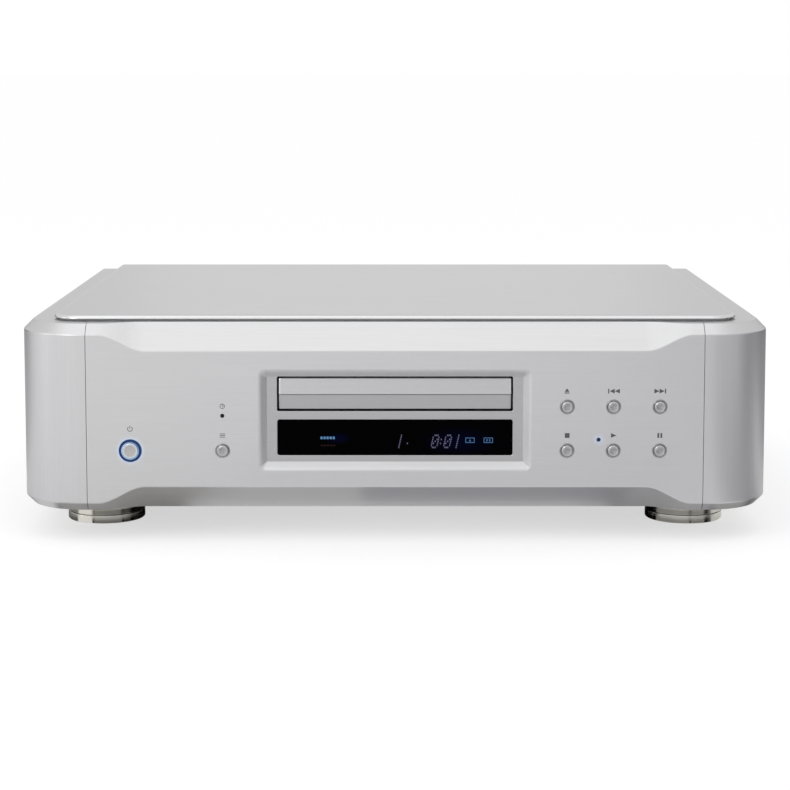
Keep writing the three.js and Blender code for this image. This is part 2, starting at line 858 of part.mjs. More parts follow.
function mechanismBase() {
  const parts = [];
  for (const side of [-1, 1]) {
    const span = (a, b) => [Math.min(side * a, side * b), Math.max(side * a, side * b)];
    parts.push(box(...span(baseInner, baseOuter), baseFrontY, baseRearY, baseFloorZ, baseTop));
    parts.push(box(
      ...span(baseInner - railLedge, baseInner + rooted), baseFrontY, baseRearY,
      trayBottom - fitGap - railThickness, trayBottom - fitGap,
    ));
    parts.push(box(
      ...span(baseInner - railLip, baseInner + rooted), baseFrontY, baseRearY, trayTop + fitGap, baseTop,
    ));
    for (const y of [faceY + flangeDepth + legInset, baseRearY - legInset]) {
      const x = side * (baseOuter - legRadius);
      parts.push(post(legRadius, bottomPlateTop, baseFloorZ + rooted, x, y, smallSides));
    }
    for (const y of traversePostYs) {
      const x = side * traversePostX;
      const top = traverseTop + traversePostRise;
      parts.push(post(traversePostRadius, baseFloorZ + rooted, top, x, y, smallSides));
    }
  }
  for (const x of [drivePinionX, pulleyGearX]) {
    parts.push(post(axleRadius, baseFloorZ + rooted, baseFloorTop + axleHeight, x, gearY, smallSides));
  }
  const floor = cut(
    box(-baseOuter, baseOuter, baseFrontY, baseRearY, baseFloorZ, baseFloorTop),
    box(
      -rodX - baseOpeningMargin, rodX + baseOpeningMargin,
      traversePostYs[0] + postMargin, traversePostYs[1] - postMargin,
      baseFloorZ - past, baseFloorTop + past,
    ),
    post(motorPulleyRadius + motorHoleClearance, baseFloorZ - past, baseFloorTop + past, motorX, gearY),
  );
  return join(floor, ...parts);
}

add("mechanism_base", mechanismBase(), "blackPlastic");

// Clamp bridge over the tray and the clamp that hangs in its hole

const bridgeTop = baseTop + bridgeThickness;
add("clamp_bridge", cut(
  box(
    -baseOuter, baseOuter, spindleY - bridgeHalfLength, spindleY + bridgeHalfLength, baseTop, bridgeTop,
  ),
  post(clampNeckRadius + fitGap, baseTop - past, bridgeTop + past, 0, spindleY, roundSides),
), "darkSteel");

const platterTop = wellFloor + platterLift;
const coneTop = platterTop + coneHeight;
const clampLow = coneTop + clampDiscGap;
const clampShoulder = baseTop - clampBridgeGap;
const clampTop = bridgeTop + clampFlangeHeight;
add("clamp", turnedUp([
  [0, clampLow], [clampRadius, clampLow], [clampRadius, clampShoulder],
  [clampNeckRadius, clampShoulder], [clampNeckRadius, bridgeTop + fitGap],
  [clampFlangeRadius, bridgeTop + fitGap], [clampFlangeRadius, clampTop], [0, clampTop],
], roundSides), "whitePlastic", 0, spindleY);

// Loading train

const pinionLow = rackLow + fitGap;
const gearHigh = pinionLow - gearStep;
const gearLow = gearHigh - gearFace;
const pulleyHigh = gearLow - pulleyStep;
const pulleyLow = pulleyHigh - gearFace;

function bored(geometry, radius, z0, z1) {
  return cut(geometry, post(radius, z0 - past, z1 + past, 0, 0, smallSides));
}

const driveGear = bored(join(
  gearBlank(rackPinionTeeth, rackModule, pinionLow - rooted, trayBottom - pinionTopGap),
  gearBlank(trainGearTeeth, trainModule, gearLow, gearHigh),
  post(gearHubRadius, gearLow, pinionLow, 0, 0, smallSides),
  post(gearFootRadius, baseFloorTop, gearLow + rooted, 0, 0, smallSides),
), axleRadius + fitGap, baseFloorTop, baseFloorTop + axleHeight);
add("drive_gear", driveGear, "whitePlastic", drivePinionX, gearY);

function groovedPulley(radius, z0, z1) {
  const groove = radius - beltThickness;
  const rim = (z1 - z0 - beltThickness) / 2 - fitGap;
  return turnedUp([
    [0, z0], [radius, z0], [radius, z0 + rim], [groove, z0 + rim], [groove, z1 - rim],
    [radius, z1 - rim], [radius, z1], [0, z1],
  ], ringSides);
}

const halfPinionPitch = Math.PI / trainPinionTeeth;
const pulleyGear = bored(join(
  gearBlank(trainPinionTeeth, trainModule, pulleyHigh - rooted, gearHigh, halfPinionPitch),
  groovedPulley(pulleyRadius, pulleyLow, pulleyHigh),
  post(pulleyFootRadius, baseFloorTop, pulleyLow + rooted, 0, 0, smallSides),
), axleRadius + fitGap, baseFloorTop, baseFloorTop + axleHeight);
add("pulley_gear", pulleyGear, "whitePlastic", pulleyGearX, gearY);

const motorPulley = join(
  groovedPulley(motorPulleyRadius, pulleyLow, pulleyHigh),
  post(motorShaftRadius, baseFloorZ + fitGap, pulleyLow + rooted, 0, 0, postSides),
);
add("motor_pulley", motorPulley, "whitePlastic", motorX, gearY);

// The belt lies in both grooves: straight runs that touch the two pulleys, and an arc round each
function beltOutline(bigRadius, smallRadius, distance) {
  const lean = Math.asin((bigRadius - smallRadius) / distance);
  const half = Math.PI / 2 + lean;
  const points = [];
  const arc = (radius, x, from, to, steps) => {
    for (let i = 0; i <= steps; i += 1) {
      const angle = from + ((to - from) * i) / steps;
      points.push(new THREE.Vector2(x + radius * Math.cos(angle), radius * Math.sin(angle)));
    }
  };
  arc(bigRadius, 0, Math.PI / 2 - lean, 1.5 * Math.PI + lean, roundSides);
  arc(smallRadius, distance, -half + 2 * lean, half - 2 * lean, postSides);
  return new THREE.Shape(points);
}

const beltMiddle = (pulleyLow + pulleyHigh) / 2;
const beltSpan = [beltMiddle - beltThickness / 2, beltMiddle + beltThickness / 2];
const beltInner = (radius) => radius - beltThickness + fitGap;
const belt = cut(
  plateLyingFlat(beltOutline(
    beltInner(pulleyRadius) + beltThickness, beltInner(motorPulleyRadius) + beltThickness, pulleySpacing,
  ), ...beltSpan),
  plateLyingFlat(beltOutline(
    beltInner(pulleyRadius), beltInner(motorPulleyRadius), pulleySpacing,
  ), beltSpan[0] - past, beltSpan[1] + past),
);
add("loading_belt", belt, "rubber", pulleyGearX, gearY);

add("loading_motor", turnedUp([
  [0, baseFloorZ - motorHeight], [motorRadius, baseFloorZ - motorHeight],
  [motorRadius, baseFloorZ], [0, baseFloorZ],
], roundSides), "darkSteel", motorX, gearY);

// Traverse: a frame that rides on the base's posts and carries the disc drive and the pickup

const bracketLow = rodZ - bracketDrop;

function traverseFrame() {
  const half = traverseHalfWidth;
  const holes = [];
  for (const side of [-1, 1]) {
    for (const y of traversePostYs) {
      const x = side * traversePostX;
      const radius = traversePostRadius + fitGap;
      holes.push(post(radius, traverseBottom - past, traverseTop + past, x, y, smallSides));
    }
  }
  const plate = cut(
    box(-half, half, traverseFrontY, traverseRearY, traverseBottom, traverseTop),
    box(
      -sledHalfWidth - sledSideGap, leadScrewX + bracketMargin,
      rodFrontY + bracketSeat, rodRearY - bracketSeat, traverseBottom - past, traverseTop + past,
    ),
    post(spindleHoleRadius, traverseBottom - past, traverseTop + past, 0, spindleY),
    ...holes,
  );
  const across = [-rodX - bracketMargin, leadScrewX + bracketMargin];
  const up = [bracketLow, traverseBottom + rooted];
  const rearFace = rodRearY + bracketThickness;
  const front = box(...across, rodFrontY - bracketThickness, rodFrontY, ...up);
  const rear = cut(
    box(...across, rodRearY, rearFace, ...up),
    rod(leadScrewRadius + fitGap, rodRearY - past, rearFace + past, leadScrewX, rodZ, smallSides),
  );
  return join(plate, front, rear);
}

add("traverse_frame", traverseFrame(), "darkSteel");
add("spindle_motor", turnedUp([
  [0, traverseBottom - spindleMotorHeight], [spindleMotorRadius, traverseBottom - spindleMotorHeight],
  [spindleMotorRadius, traverseBottom], [0, traverseBottom],
], roundSides), "darkSteel", 0, spindleY);

const hubLow = traverseBottom + fitGap;
const rimLow = platterTop - platterRim;
add("platter", turnedUp([
  [0, hubLow], [platterHubRadius, hubLow], [platterHubRadius, rimLow - platterHubRise],
  [platterRadius, rimLow], [platterRadius, platterTop], [discHoleRadius - discHoleClearance, platterTop],
  [discHoleRadius - coneTaper, coneTop], [0, coneTop],
], roundSides), "blackPlastic", 0, spindleY);

const rodLength = rodRearY - rodFrontY;
for (const [name, x] of [["guide_rod_left", -rodX], ["guide_rod_right", rodX]]) {
  add(name, rod(rodRadius, 0, rodLength, 0, 0, smallSides), "polishedSteel", x, rodFrontY, rodZ);
}

function pickupSled() {
  const nutInner = leadScrewX - leadScrewRadius - fitGap;
  const lens = lensTop - rodZ;
  const block = lens - lensRise;
  const inset = lensBlockInset;
  const body = join(
    box(-sledHalfWidth, sledHalfWidth, 0, sledLength, sledLow, sledHigh),
    box(-lensHalfWidth, lensHalfWidth, inset, sledLength - inset, sledHigh - rooted, block),
    post(lensRadius, block - rooted, lens, 0, sledLength / 2, smallSides),
    box(sledHalfWidth - rooted, nutInner, nutInset, sledLength - nutInset, -nutHalfHeight, nutHalfHeight),
  );
  const bores = [-rodX, rodX].map(
    (x) => rod(rodRadius + fitGap, -past, sledLength + past, x, 0, smallSides),
  );
  return cut(body, ...bores);
}

add("pickup_sled", pickupSled(), "darkSteel", 0, sledFrontY, rodZ);
add("lead_screw", rod(
  leadScrewRadius, fitGap, rodLength + bracketThickness - fitGap, 0, 0, smallSides,
), "polishedSteel", leadScrewX, rodFrontY, rodZ);
const sledMotorFront = rodRearY + bracketThickness;
const sledMotorRadius = traverseBottom - rodZ - fitGap;
add("sled_motor", rod(sledMotorRadius, 0, sledMotorLength, 0, 0), "darkSteel",
  leadScrewX, sledMotorFront, rodZ);

// Transformer in its round can, held by a central bolt, midway between the mechanism and the side

const sideBoardX = (baseOuter + casingHalfWidth - flangeDepth) / 2;
const canEdge = 5;
const boltRadius = 9;
const boltHead = 4;
const canSides = 28;
add("transformer", turnedUp([
  [0, 0], [transformerRadius, 0], [transformerRadius, transformerHeight - canEdge],
  [transformerRadius - canEdge, transformerHeight], [boltRadius, transformerHeight],
  [boltRadius, transformerHeight + boltHead], [0, transformerHeight + boltHead],
], canSides), "darkSteel", -sideBoardX, transformerY, bottomPlateTop);

// Circuit boards on standoffs, each with its largest components

function circuitBoard(width, depth, components) {
  const top = boardStandoff + boardThickness;
  const legs = [];
  for (const x of [-width / 2 + boardInset, width / 2 - boardInset]) {
    for (const y of [-depth / 2 + boardInset, depth / 2 - boardInset]) {
      legs.push(post(postRadius, 0, boardStandoff + rooted, x, y, postSides));
    }
  }
  const board = box(-width / 2, width / 2, -depth / 2, depth / 2, boardStandoff, top);
  return join(board, ...legs, ...components(top - rooted));
}

const sideBoardWidth = casingHalfWidth - flangeDepth - baseOuter - 2 * boardSideGap;
const rearBoardDepth = 122;
const rearBoardGap = 12;
const rearBoardY = rearInnerY - rearBoardDepth / 2 - rearBoardGap;
const capacitorRadius = 15;
const capacitorHeight = 42;

// Power board: two rows of reservoir capacitors, then an upright heat sink
const capacitorPitch = 36;
const capacitorRowY = -38;
const heatSink = { length: 90, depth: 6, height: 38, y: 24 };

function powerParts(z) {
  const parts = [];
  for (const column of [-1, 0, 1]) {
    for (const row of [0, 1]) {
      const x = column * capacitorPitch;
      const y = capacitorRowY + row * capacitorPitch;
      parts.push(post(capacitorRadius, z, z + capacitorHeight, x, y, smallSides));
    }
  }
  const half = heatSink.length / 2;
  parts.push(box(-half, half, heatSink.y, heatSink.y + heatSink.depth, z, z + heatSink.height));
  return parts;
}

// Audio board: output capacitors, the converter module and three relays
const outputCapacitor = { radius: 8, height: 20, pitch: 23.5, y: -40 };
const converter = { length: 76, depth: 30, height: 12, y: -20 };
const relay = { width: 14, depth: 14, height: 9, pitch: 30, y: 22 };

function audioParts(z) {
  const parts = [];
  for (const place of [-1.5, -0.5, 0.5, 1.5]) {
    const { radius, height, pitch, y } = outputCapacitor;
    parts.push(post(radius, z, z + height, place * pitch, y, smallSides));
  }
  const half = converter.length / 2;
  parts.push(box(-half, half, converter.y, converter.y + converter.depth, z, z + converter.height));
  for (const place of [-1, 0, 1]) {
    const x = place * relay.pitch - relay.width / 2;
    parts.push(box(x, x + relay.width, relay.y, relay.y + relay.depth, z, z + relay.height));
  }
  return parts;
}

// Digital board: a screening can, the drive controller and two capacitors
const screen = { x: -40, width: 60, depth: 60, height: 14 };
const controller = { x: 32, width: 16, depth: 40, height: 8 };
const smallCapacitor = { radius: 6, height: 14, x: 40, y: 42 };

function digitalParts(z) {
  const block = ({ x, width, depth, height }) => box(
    x, x + width, -depth / 2, depth / 2, z, z + height,
  );
  const capacitor = (y) => post(
    smallCapacitor.radius, z, z + smallCapacitor.height, smallCapacitor.x, y, smallSides,
  );
  return [block(screen), block(controller), capacitor(smallCapacitor.y), capacitor(-smallCapacitor.y)];
}

add("power_board", circuitBoard(sideBoardWidth, rearBoardDepth, powerParts), "circuitBoard",
  -sideBoardX, rearBoardY, bottomPlateTop);
add("audio_board", circuitBoard(sideBoardWidth, rearBoardDepth, audioParts), "circuitBoard",
  sideBoardX, rearBoardY, bottomPlateTop);
const digitalBoardDepth = 130;
const boardGap = 10;
const digitalBoardY = rearBoardY - rearBoardDepth / 2 - boardGap - digitalBoardDepth / 2;
add("digital_board", circuitBoard(sideBoardWidth, digitalBoardDepth, digitalParts), "circuitBoard",
  sideBoardX, digitalBoardY, bottomPlateTop);

// Rear connectors. Each is let through the rear panel, with a flange on its outer face.

const inletHalf = { x: 14, z: 11 };
const inletCavity = { x: 12.2, z: 8.6, depth: 16 };
const inletFlange = { x: 25, z: 14, thickness: 3 };
const inletDepth = 24;
const blade = { halfWidth: 1, halfHeight: 2.5, setback: 3 };
const bladePlaces = [{ x: -7, z: -2 }, { x: 7, z: -2 }, { x: 0, z: 3 }];

function mainsInletPiece() {
  const outer = join(
    box(-inletHalf.x, inletHalf.x, -inletDepth, rooted, -inletHalf.z, inletHalf.z),
    box(-inletFlange.x, inletFlange.x, 0, inletFlange.thickness, -inletFlange.z, inletFlange.z),
  );
  const front = inletFlange.thickness;
  const back = front - inletCavity.depth;
  const hollow = cut(outer, box(
    -inletCavity.x, inletCavity.x, back, front + past, -inletCavity.z, inletCavity.z,
  ));
  const blades = bladePlaces.map(({ x, z }) => box(
    x - blade.halfWidth, x + blade.halfWidth, back - rooted, front - blade.setback,
    z - blade.halfHeight, z + blade.halfHeight,
  ));
  return join(hollow, ...blades);
}

const shellRadius = 11.5;
const shellBore = 9.3;
const shellFlange = { x: 13, z: 15.5, thickness: 2 };
const shellDepth = 18;
const shellFloor = 3;
const pin = { radius: 1.2, setback: 1 };
const pinPlaces = [{ x: -5, z: 2 }, { x: 5, z: 2 }, { x: 0, z: -5 }];

function balancedOutput() {
  const front = shellFlange.thickness;
  const back = shellFloor - shellDepth;
  const outer = join(
    rod(shellRadius, -shellDepth, rooted, 0, 0, roundSides),
    box(-shellFlange.x, shellFlange.x, 0, front, -shellFlange.z, shellFlange.z),
  );
  const hollow = cut(outer, rod(shellBore, back, front + past, 0, 0, roundSides));
  const pins = pinPlaces.map(({ x, z }) => rod(pin.radius, back - rooted, -pin.setback, x, z, postSides));
  return join(hollow, ...pins);
}

const jackSides = 16;
const jackRadius = 4.2;
const jackTipChamfer = 0.5;
const jackFlange = { radius: 8, edge: 5, topRadius: 6, top: 7 };
const jackBore = { radius: 1.7, depth: 8 };

function phonoJack() {
  const reach = connectorReach + rearPanelSetback;
  return cut(
    turned([
      [0, -connectorDepth], [phonoBodyRadius, -connectorDepth], [phonoBodyRadius, 0],
      [jackFlange.radius, 0], [jackFlange.radius, jackFlange.edge], [jackFlange.topRadius, jackFlange.top],
      [jackRadius, jackFlange.top], [jackRadius, reach - jackTipChamfer],
      [jackRadius - jackTipChamfer, reach], [0, reach],
    ], jackSides),
    rod(jackBore.radius, reach - jackBore.depth, reach + past, 0, 0, lampSides),
  );
}

const clockNut = { radius: 9, thickness: 3 };
const clockBarrel = { radius: 4.8, bore: 3.9, boreDepth: 9, setback: 4 };

function clockJack() {
  const reach = connectorReach + rearPanelSetback - clockBarrel.setback;
  return cut(
    turned([
      [0, -connectorDepth], [clockBodyRadius, -connectorDepth], [clockBodyRadius, 0],
      [clockNut.radius, 0], [clockNut.radius, clockNut.thickness],
      [clockBarrel.radius, clockNut.thickness], [clockBarrel.radius, reach], [0, reach],
    ], jackSides),
    rod(clockBarrel.bore, reach - clockBarrel.boreDepth, reach + past, 0, 0, jackSides),
  );
}

const throughRear = [rearInnerY - past, rearOuterY + past];
const roundHole = (radius, x, z) => rod(radius + connectorFit, ...throughRear, x, z, roundSides);
const holes = [
  box(
    mainsInlet.x - inletHalf.x - connectorFit, mainsInlet.x + inletHalf.x + connectorFit, ...throughRear,
    mainsInlet.z - inletHalf.z - connectorFit, mainsInlet.z + inletHalf.z + connectorFit,
  ),
  roundHole(phonoBodyRadius, digitalOut.x, digitalOut.z),
  roundHole(clockBodyRadius, clockIn.x, clockIn.z),
];
for (const { x } of balancedPlaces) {
  holes.push(roundHole(shellRadius, x, lowSocketZ));
  holes.push(roundHole(phonoBodyRadius, x, highSocketZ));
}
add("rear_panel", cut(rearPanelBlank(), ...holes), "darkSteel");
add("mains_inlet", mainsInletPiece(), "blackPlastic", mainsInlet.x, rearOuterY, mainsInlet.z);
add("digital_output", phonoJack(), "gold", digitalOut.x, rearOuterY, digitalOut.z);
add("clock_input", clockJack(), "polishedSteel", clockIn.x, rearOuterY, clockIn.z);
for (const { side, x } of balancedPlaces) {
  add(`balanced_output_${side}`, balancedOutput(), "blackPlastic", x, rearOuterY, lowSocketZ);
  add(`phono_output_${side}`, phonoJack(), "gold", x, rearOuterY, highSocketZ);
}

export default player;
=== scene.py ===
from math import asin, cos, pi, radians, sin, tan

import bmesh
import bpy
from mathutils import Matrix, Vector


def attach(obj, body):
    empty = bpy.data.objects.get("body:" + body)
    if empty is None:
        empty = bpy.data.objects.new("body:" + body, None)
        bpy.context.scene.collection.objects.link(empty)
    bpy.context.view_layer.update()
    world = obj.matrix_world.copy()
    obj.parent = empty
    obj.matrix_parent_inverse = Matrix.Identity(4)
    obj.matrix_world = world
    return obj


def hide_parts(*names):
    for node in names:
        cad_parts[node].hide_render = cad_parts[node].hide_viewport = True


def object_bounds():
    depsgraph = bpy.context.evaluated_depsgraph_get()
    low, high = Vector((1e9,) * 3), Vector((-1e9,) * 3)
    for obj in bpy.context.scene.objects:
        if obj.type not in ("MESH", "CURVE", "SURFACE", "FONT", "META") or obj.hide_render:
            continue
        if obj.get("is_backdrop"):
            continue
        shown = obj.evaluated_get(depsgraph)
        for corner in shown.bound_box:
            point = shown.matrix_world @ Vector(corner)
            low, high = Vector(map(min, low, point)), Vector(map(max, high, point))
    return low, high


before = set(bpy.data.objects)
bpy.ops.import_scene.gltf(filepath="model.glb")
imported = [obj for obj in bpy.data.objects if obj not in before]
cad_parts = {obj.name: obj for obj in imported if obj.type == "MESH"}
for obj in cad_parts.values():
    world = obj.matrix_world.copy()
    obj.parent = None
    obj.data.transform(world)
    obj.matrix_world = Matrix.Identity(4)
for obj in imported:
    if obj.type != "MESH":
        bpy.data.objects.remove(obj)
cad_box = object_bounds()

# Studio: a pale paper floor under an even white sky, soft lamps and grey cards at both flanks,
# which the metal mirrors. The camera stands in front, a little above the player.
# The studio is laid out in metres. The player is in millimetres, which MM turns into metres.

MM = 0.001
WHITE = (1, 1, 1, 1)


def linear(hex_colour, share=1):
    """The linear colour of an sRGB hex value, made lighter or darker by a share, with alpha 1."""
    parts = [int(hex_colour[i:i + 2], 16) / 255 for i in (1, 3, 5)]
    parts = [p / 12.92 if p <= 0.04045 else ((p + 0.055) / 1.055) ** 2.4 for p in parts]
    return (*[p * share for p in parts], 1)


def node(tree, kind, inputs=None, **settings):
    """Adds a node with its settings. Its inputs are values, sockets, or nodes to link from."""
    made = tree.nodes.new(kind)
    for name, value in settings.items():
        setattr(made, name, value)
    for key, value in (inputs or {}).items():
        if isinstance(value, bpy.types.Node):
            value = next(socket for socket in value.outputs if socket.enabled)
        if isinstance(value, bpy.types.NodeSocket):
            tree.links.new(value, made.inputs[key])
        else:
            made.inputs[key].default_value = value
    return made


def new_material(name):
    """An empty node material and its tree."""
    material = bpy.data.materials.new(name)
    material.use_nodes = True
    material.node_tree.nodes.clear()
    return material, material.node_tree


def close_material(tree, kind, inputs):
    """Ends a material with its shader, joined to the output."""
    shader = node(tree, kind, inputs)
    node(tree, "ShaderNodeOutputMaterial", {"Surface": shader})


def linked(name, data):
    """A new object in the scene."""
    made = bpy.data.objects.new(name, data)
    bpy.context.scene.collection.objects.link(made)
    return made


def stage_sheet(name, corners, material):
    """A flat sheet of the studio, given by its corners in metres."""
    mesh = bpy.data.meshes.new(name)
    mesh.from_pydata(corners, [], [tuple(range(len(corners)))])
    mesh.materials.append(material)
    sheet = linked(name, mesh)
    sheet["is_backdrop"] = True
    return sheet


def mirrored_sheet(name, corners, material):
    """A sheet that is seen in polished and satin metal alone."""
    sheet = stage_sheet(name, corners, material)
    sheet.visible_camera = False
    sheet.visible_shadow = False
    sheet.visible_diffuse = False


# White paper: even and matt, with a very faint tooth. What is seen of the floor, straight or in
# metal and glass, is lifted part of the way to the white background, which pales its shadow.
def studio_paper(name, lift, colour="#fcfcfc"):
    material, tree = new_material(name)
    place = node(tree, "ShaderNodeTexCoord").outputs["Object"]
    tooth = node(tree, "ShaderNodeTexNoise", {"Vector": place, "Scale": 90.0})
    shade = node(tree, "ShaderNodeMix", {
        0: tooth, 6: linear(colour), 7: linear(colour, 1.01),
    }, data_type="RGBA")
    matt = node(tree, "ShaderNodeBsdfDiffuse", {"Color": shade})
    white = node(tree, "ShaderNodeEmission", {"Color": WHITE, "Strength": 1.0})
    path = node(tree, "ShaderNodeLightPath")
    seen = path.outputs["Is Camera Ray"]
    for ray in ("Is Glossy Ray", "Is Transmission Ray"):
        seen = node(tree, "ShaderNodeMath", {0: seen, 1: path.outputs[ray]}, operation="MAXIMUM")
    share = node(tree, "ShaderNodeMath", {0: seen, 1: lift}, operation="MULTIPLY")
    close_material(tree, "ShaderNodeMixShader", {0: share, 1: matt, 2: white})
    return material


FLOOR = 60
FLOOR_LIFT = 0.62
stage_sheet(
    "floor", [(-FLOOR, -FLOOR, 0), (FLOOR, -FLOOR, 0), (FLOOR, FLOOR, 0), (-FLOOR, FLOOR, 0)],
    studio_paper("white_studio_paper", FLOOR_LIFT),
)
# Papers under, before and beside the player, which its metal mirrors: the grey ones are painted
# shade on the floor round the player, and the ones lifted further to white painted light. Each is
# given by its colour, how far it is lifted to white, and where it starts and ends in x and in y
SHEET_HEIGHT = 1e-4
for name, colour, lift, x0, x1, y0, y1 in (
    ("sheet_under_player", "#fcfcfc", 0.0, -0.21, 0.21, -0.125, 0.16),
    ("sheet_behind_edge", "#fcfcfc", 0.8, -0.11, 0.11, -0.16, -0.125),
    ("sheet_under_edge_left", "#f0f0f0", 0.0, -0.17, -0.02, -0.19, -0.16),
    ("sheet_under_edge_right", "#c6c6cc", 0.0, -0.02, 0.17, -0.19, -0.16),
    ("sheet_before_edge", "#fcfcfc", 0.8, -0.11, 0.11, -0.24, -0.19),
    ("sheet_before_player", "#dcdae0", 0.0, -0.11, 0.2, -0.45, -0.24),
    ("sheet_before_left", "#eaeaea", 0.0, -0.24, -0.11, -0.5, -0.2),
    ("sheet_right_before", "#c8c8ca", 0.0, 0.24, 0.79, -1.2, -0.38),
    ("sheet_right_near", "#b8b7bb", 0.0, 0.24, 0.79, -0.38, -0.1),
    ("sheet_left_near", "#ececee", 0.0, -0.6, -0.24, -0.38, -0.12),
    ("sheet_far_before", "#ffffff", 0.0, -1.4, 0.24, -2.4, -0.7),
    ("sheet_right_behind", "#b4b4b6", 0.0, 0.26, 0.95, 0.05, 1.0),
    ("sheet_left_behind", "#c4c4c6", 0.0, -0.95, -0.26, 0.05, 1.0),
):
    corners = [(x, y, SHEET_HEIGHT) for x, y in ((x0, y0), (x1, y0), (x1, y1), (x0, y1))]
    mirrored_sheet(name, corners, studio_paper(name + "_paper", lift, colour))

# Grey card: matt board that stands on edge and takes light off the metal's flanks. Each card is
# given by its two ends on the floor and its height.
for name, colour, start, end, high in (
    ("card_right_before", "#dcdcde", (0.8, -1.3), (0.8, -0.42), 0.45),
    ("card_right_behind", "#8c8c8e", (0.8, -0.42), (0.8, 2.0), 0.28),
    ("card_left", "#808082", (-0.95, 0.3), (-0.95, 3.0), 0.3),
    ("card_front_right", "#e2e2e6", (0.42, -2.6), (2, -2.6), 0.8),
):
    board, tree = new_material(name + "_board")
    close_material(tree, "ShaderNodeBsdfDiffuse", {"Color": linear(colour)})
    mirrored_sheet(name, [(*start, 0), (*end, 0), (*end, high), (*start, high)], board)

# White reflector: a lit card at the upper left that gives each button its bright crescent
reflector, tree = new_material("white_reflector")
close_material(tree, "ShaderNodeEmission", {"Color": WHITE, "Strength": 3.2})
mirrored_sheet("reflector", [
    (-1.0, -0.85, 0.5), (-0.45, -1.2, 0.5), (-0.38, -1.08, 1.05), (-0.93, -0.72, 1.05),
], reflector)

# Papers laid out round each front foot, which draw light and dark bands down its side: each is
# given by the part of the foot's width that mirrors it, from -1 to 1, its colour, how far it is
# lifted to white, and its reach
FOOT_BEARING = radians(8)
FOOT_MIDDLE = (0.178, -0.103)
PAPERS_START = 0.0236
PAPERS_HEIGHT = 2e-4
for side_name, side, papers in (
    ("left", -1, (
        (-1, -0.75, "#a8a8a8", 0, 0.1), (-0.75, -0.39, "#fefefe", 1.0, 0.046),
        (-0.39, -0.34, "#303030", 0, 0.045), (-0.34, 0.37, "#c8c6c2", 0.1, 0.1),
        (0.37, 0.43, "#303030", 0, 0.045), (0.43, 0.6, "#a8a8a8", 0, 0.05),
        (0.6, 0.68, "#050505", 0, 0.1), (0.68, 1, "#585656", 0, 0.12),
    )),
    ("right", 1, (
        (-1, -0.69, "#242222", 0, 0.12), (-0.69, 0.175, "#d0cece", 0.2, 0.09),
        (0.175, 0.215, "#404040", 0, 0.045), (0.215, 0.555, "#c8c8c4", 0.15, 0.06),
        (0.555, 0.64, "#050505", 0, 0.08), (0.64, 0.72, "#909090", 0, 0.08),
        (0.72, 1, "#fefefe", 0.5, 0.1),
    )),
):
    for start, end, colour, lift, reach in papers:
        corners = []
        for part, far in ((start, 0), (start, reach), (end, reach), (end, 0)):
            normal = asin(part) - side * FOOT_BEARING
            mirrored = 2 * normal + side * FOOT_BEARING
            corners.append((
                side * FOOT_MIDDLE[0] + PAPERS_START * sin(normal) + far * sin(mirrored),
                FOOT_MIDDLE[1] - PAPERS_START * cos(normal) - far * cos(mirrored), PAPERS_HEIGHT,
            ))
        name = f"paper_{side_name}_foot_{start}"
        mirrored_sheet(name, corners, studio_paper(name, lift, colour))

world = bpy.data.worlds.new("white_sky")
bpy.context.scene.world = world
world.use_nodes = True
world.node_tree.nodes.clear()
sky = node(world.node_tree, "ShaderNodeBackground", {"Color": WHITE, "Strength": 1.0})
node(world.node_tree, "ShaderNodeOutputWorld", {"Surface": sky})

# Each lamp is given by its power in watts, its size, its place and the point it faces
for name, power, size, place, target in (
    ("overhead_softbox", 2.62, (1.6, 1.1), (-0.1, -0.3, 1.3), (0, -0.15, 0.1)),
    ("upper_left_softbox", 1.85, (0.45, 0.45), (-0.75, -0.95, 0.95), (0, -0.17, 0.07)),
    ("left_strip_softbox", 0.6, (0.15, 0.6), (-1.25, -0.45, 0.35), (-0.2, -0.15, 0.05)),
    ("rear_softbox", 0.2, (0.7, 0.25), (0, 1.5, 0.55), (0, -0.1, 0.13)),
):
    light = bpy.data.lights.new(name, "AREA")
    light.shape = "RECTANGLE"
    light.size, light.size_y = size
    light.energy = power
    lamp = linked(name, light)
    lamp.location = place
    lamp.rotation_euler = (Vector(place) - Vector(target)).to_track_quat("Z", "Y").to_euler()
    lamp.visible_camera = False

CAMERA_TILT = 5.774
camera = linked("camera", bpy.data.cameras.new("camera"))
camera.location = (0, -1.3736, 0.2772)
camera.rotation_euler = (radians(90 - CAMERA_TILT), 0, 0)
camera.data.lens = 95.07
camera.data.sensor_width = 36
camera.data.shift_y = -0.15
bpy.context.scene.camera = camera
bpy.context.scene.view_settings.view_transform = "Standard"

# Feet: each is a body turned from steel over a turned base, with a hair gap between them where the
# body's boss stands in the base. Both are polished on the lathe, and a screw through the bottom
# plate holds them.

MERGED = 1e-7


def enlist(made, slot, *replaced, body="chassis"):
    """Makes an object a piece of the player that rides on a body and may stand for CAD nodes."""
    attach(made, body)
    if replaced:
        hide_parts(*replaced)
    return made


def closed_mesh(name, form):
    """Ends a bmesh as a mesh whose faces look outward."""
    bmesh.ops.remove_doubles(form, verts=form.verts, dist=MERGED)
    bmesh.ops.recalc_face_normals(form, faces=form.faces)
    mesh = bpy.data.meshes.new(name)
    form.to_mesh(mesh)
    form.free()
    return mesh


def smooth_mesh(name, form, materials, sharp=30):
    """Ends a bmesh as a mesh that is smooth apart from edges that turn more than sharp."""
    mesh = closed_mesh(name, form)
    for material in materials:
        mesh.materials.append(material)
    mesh.shade_smooth()
    mesh.set_sharp_from_angle(angle=radians(sharp))
    return mesh


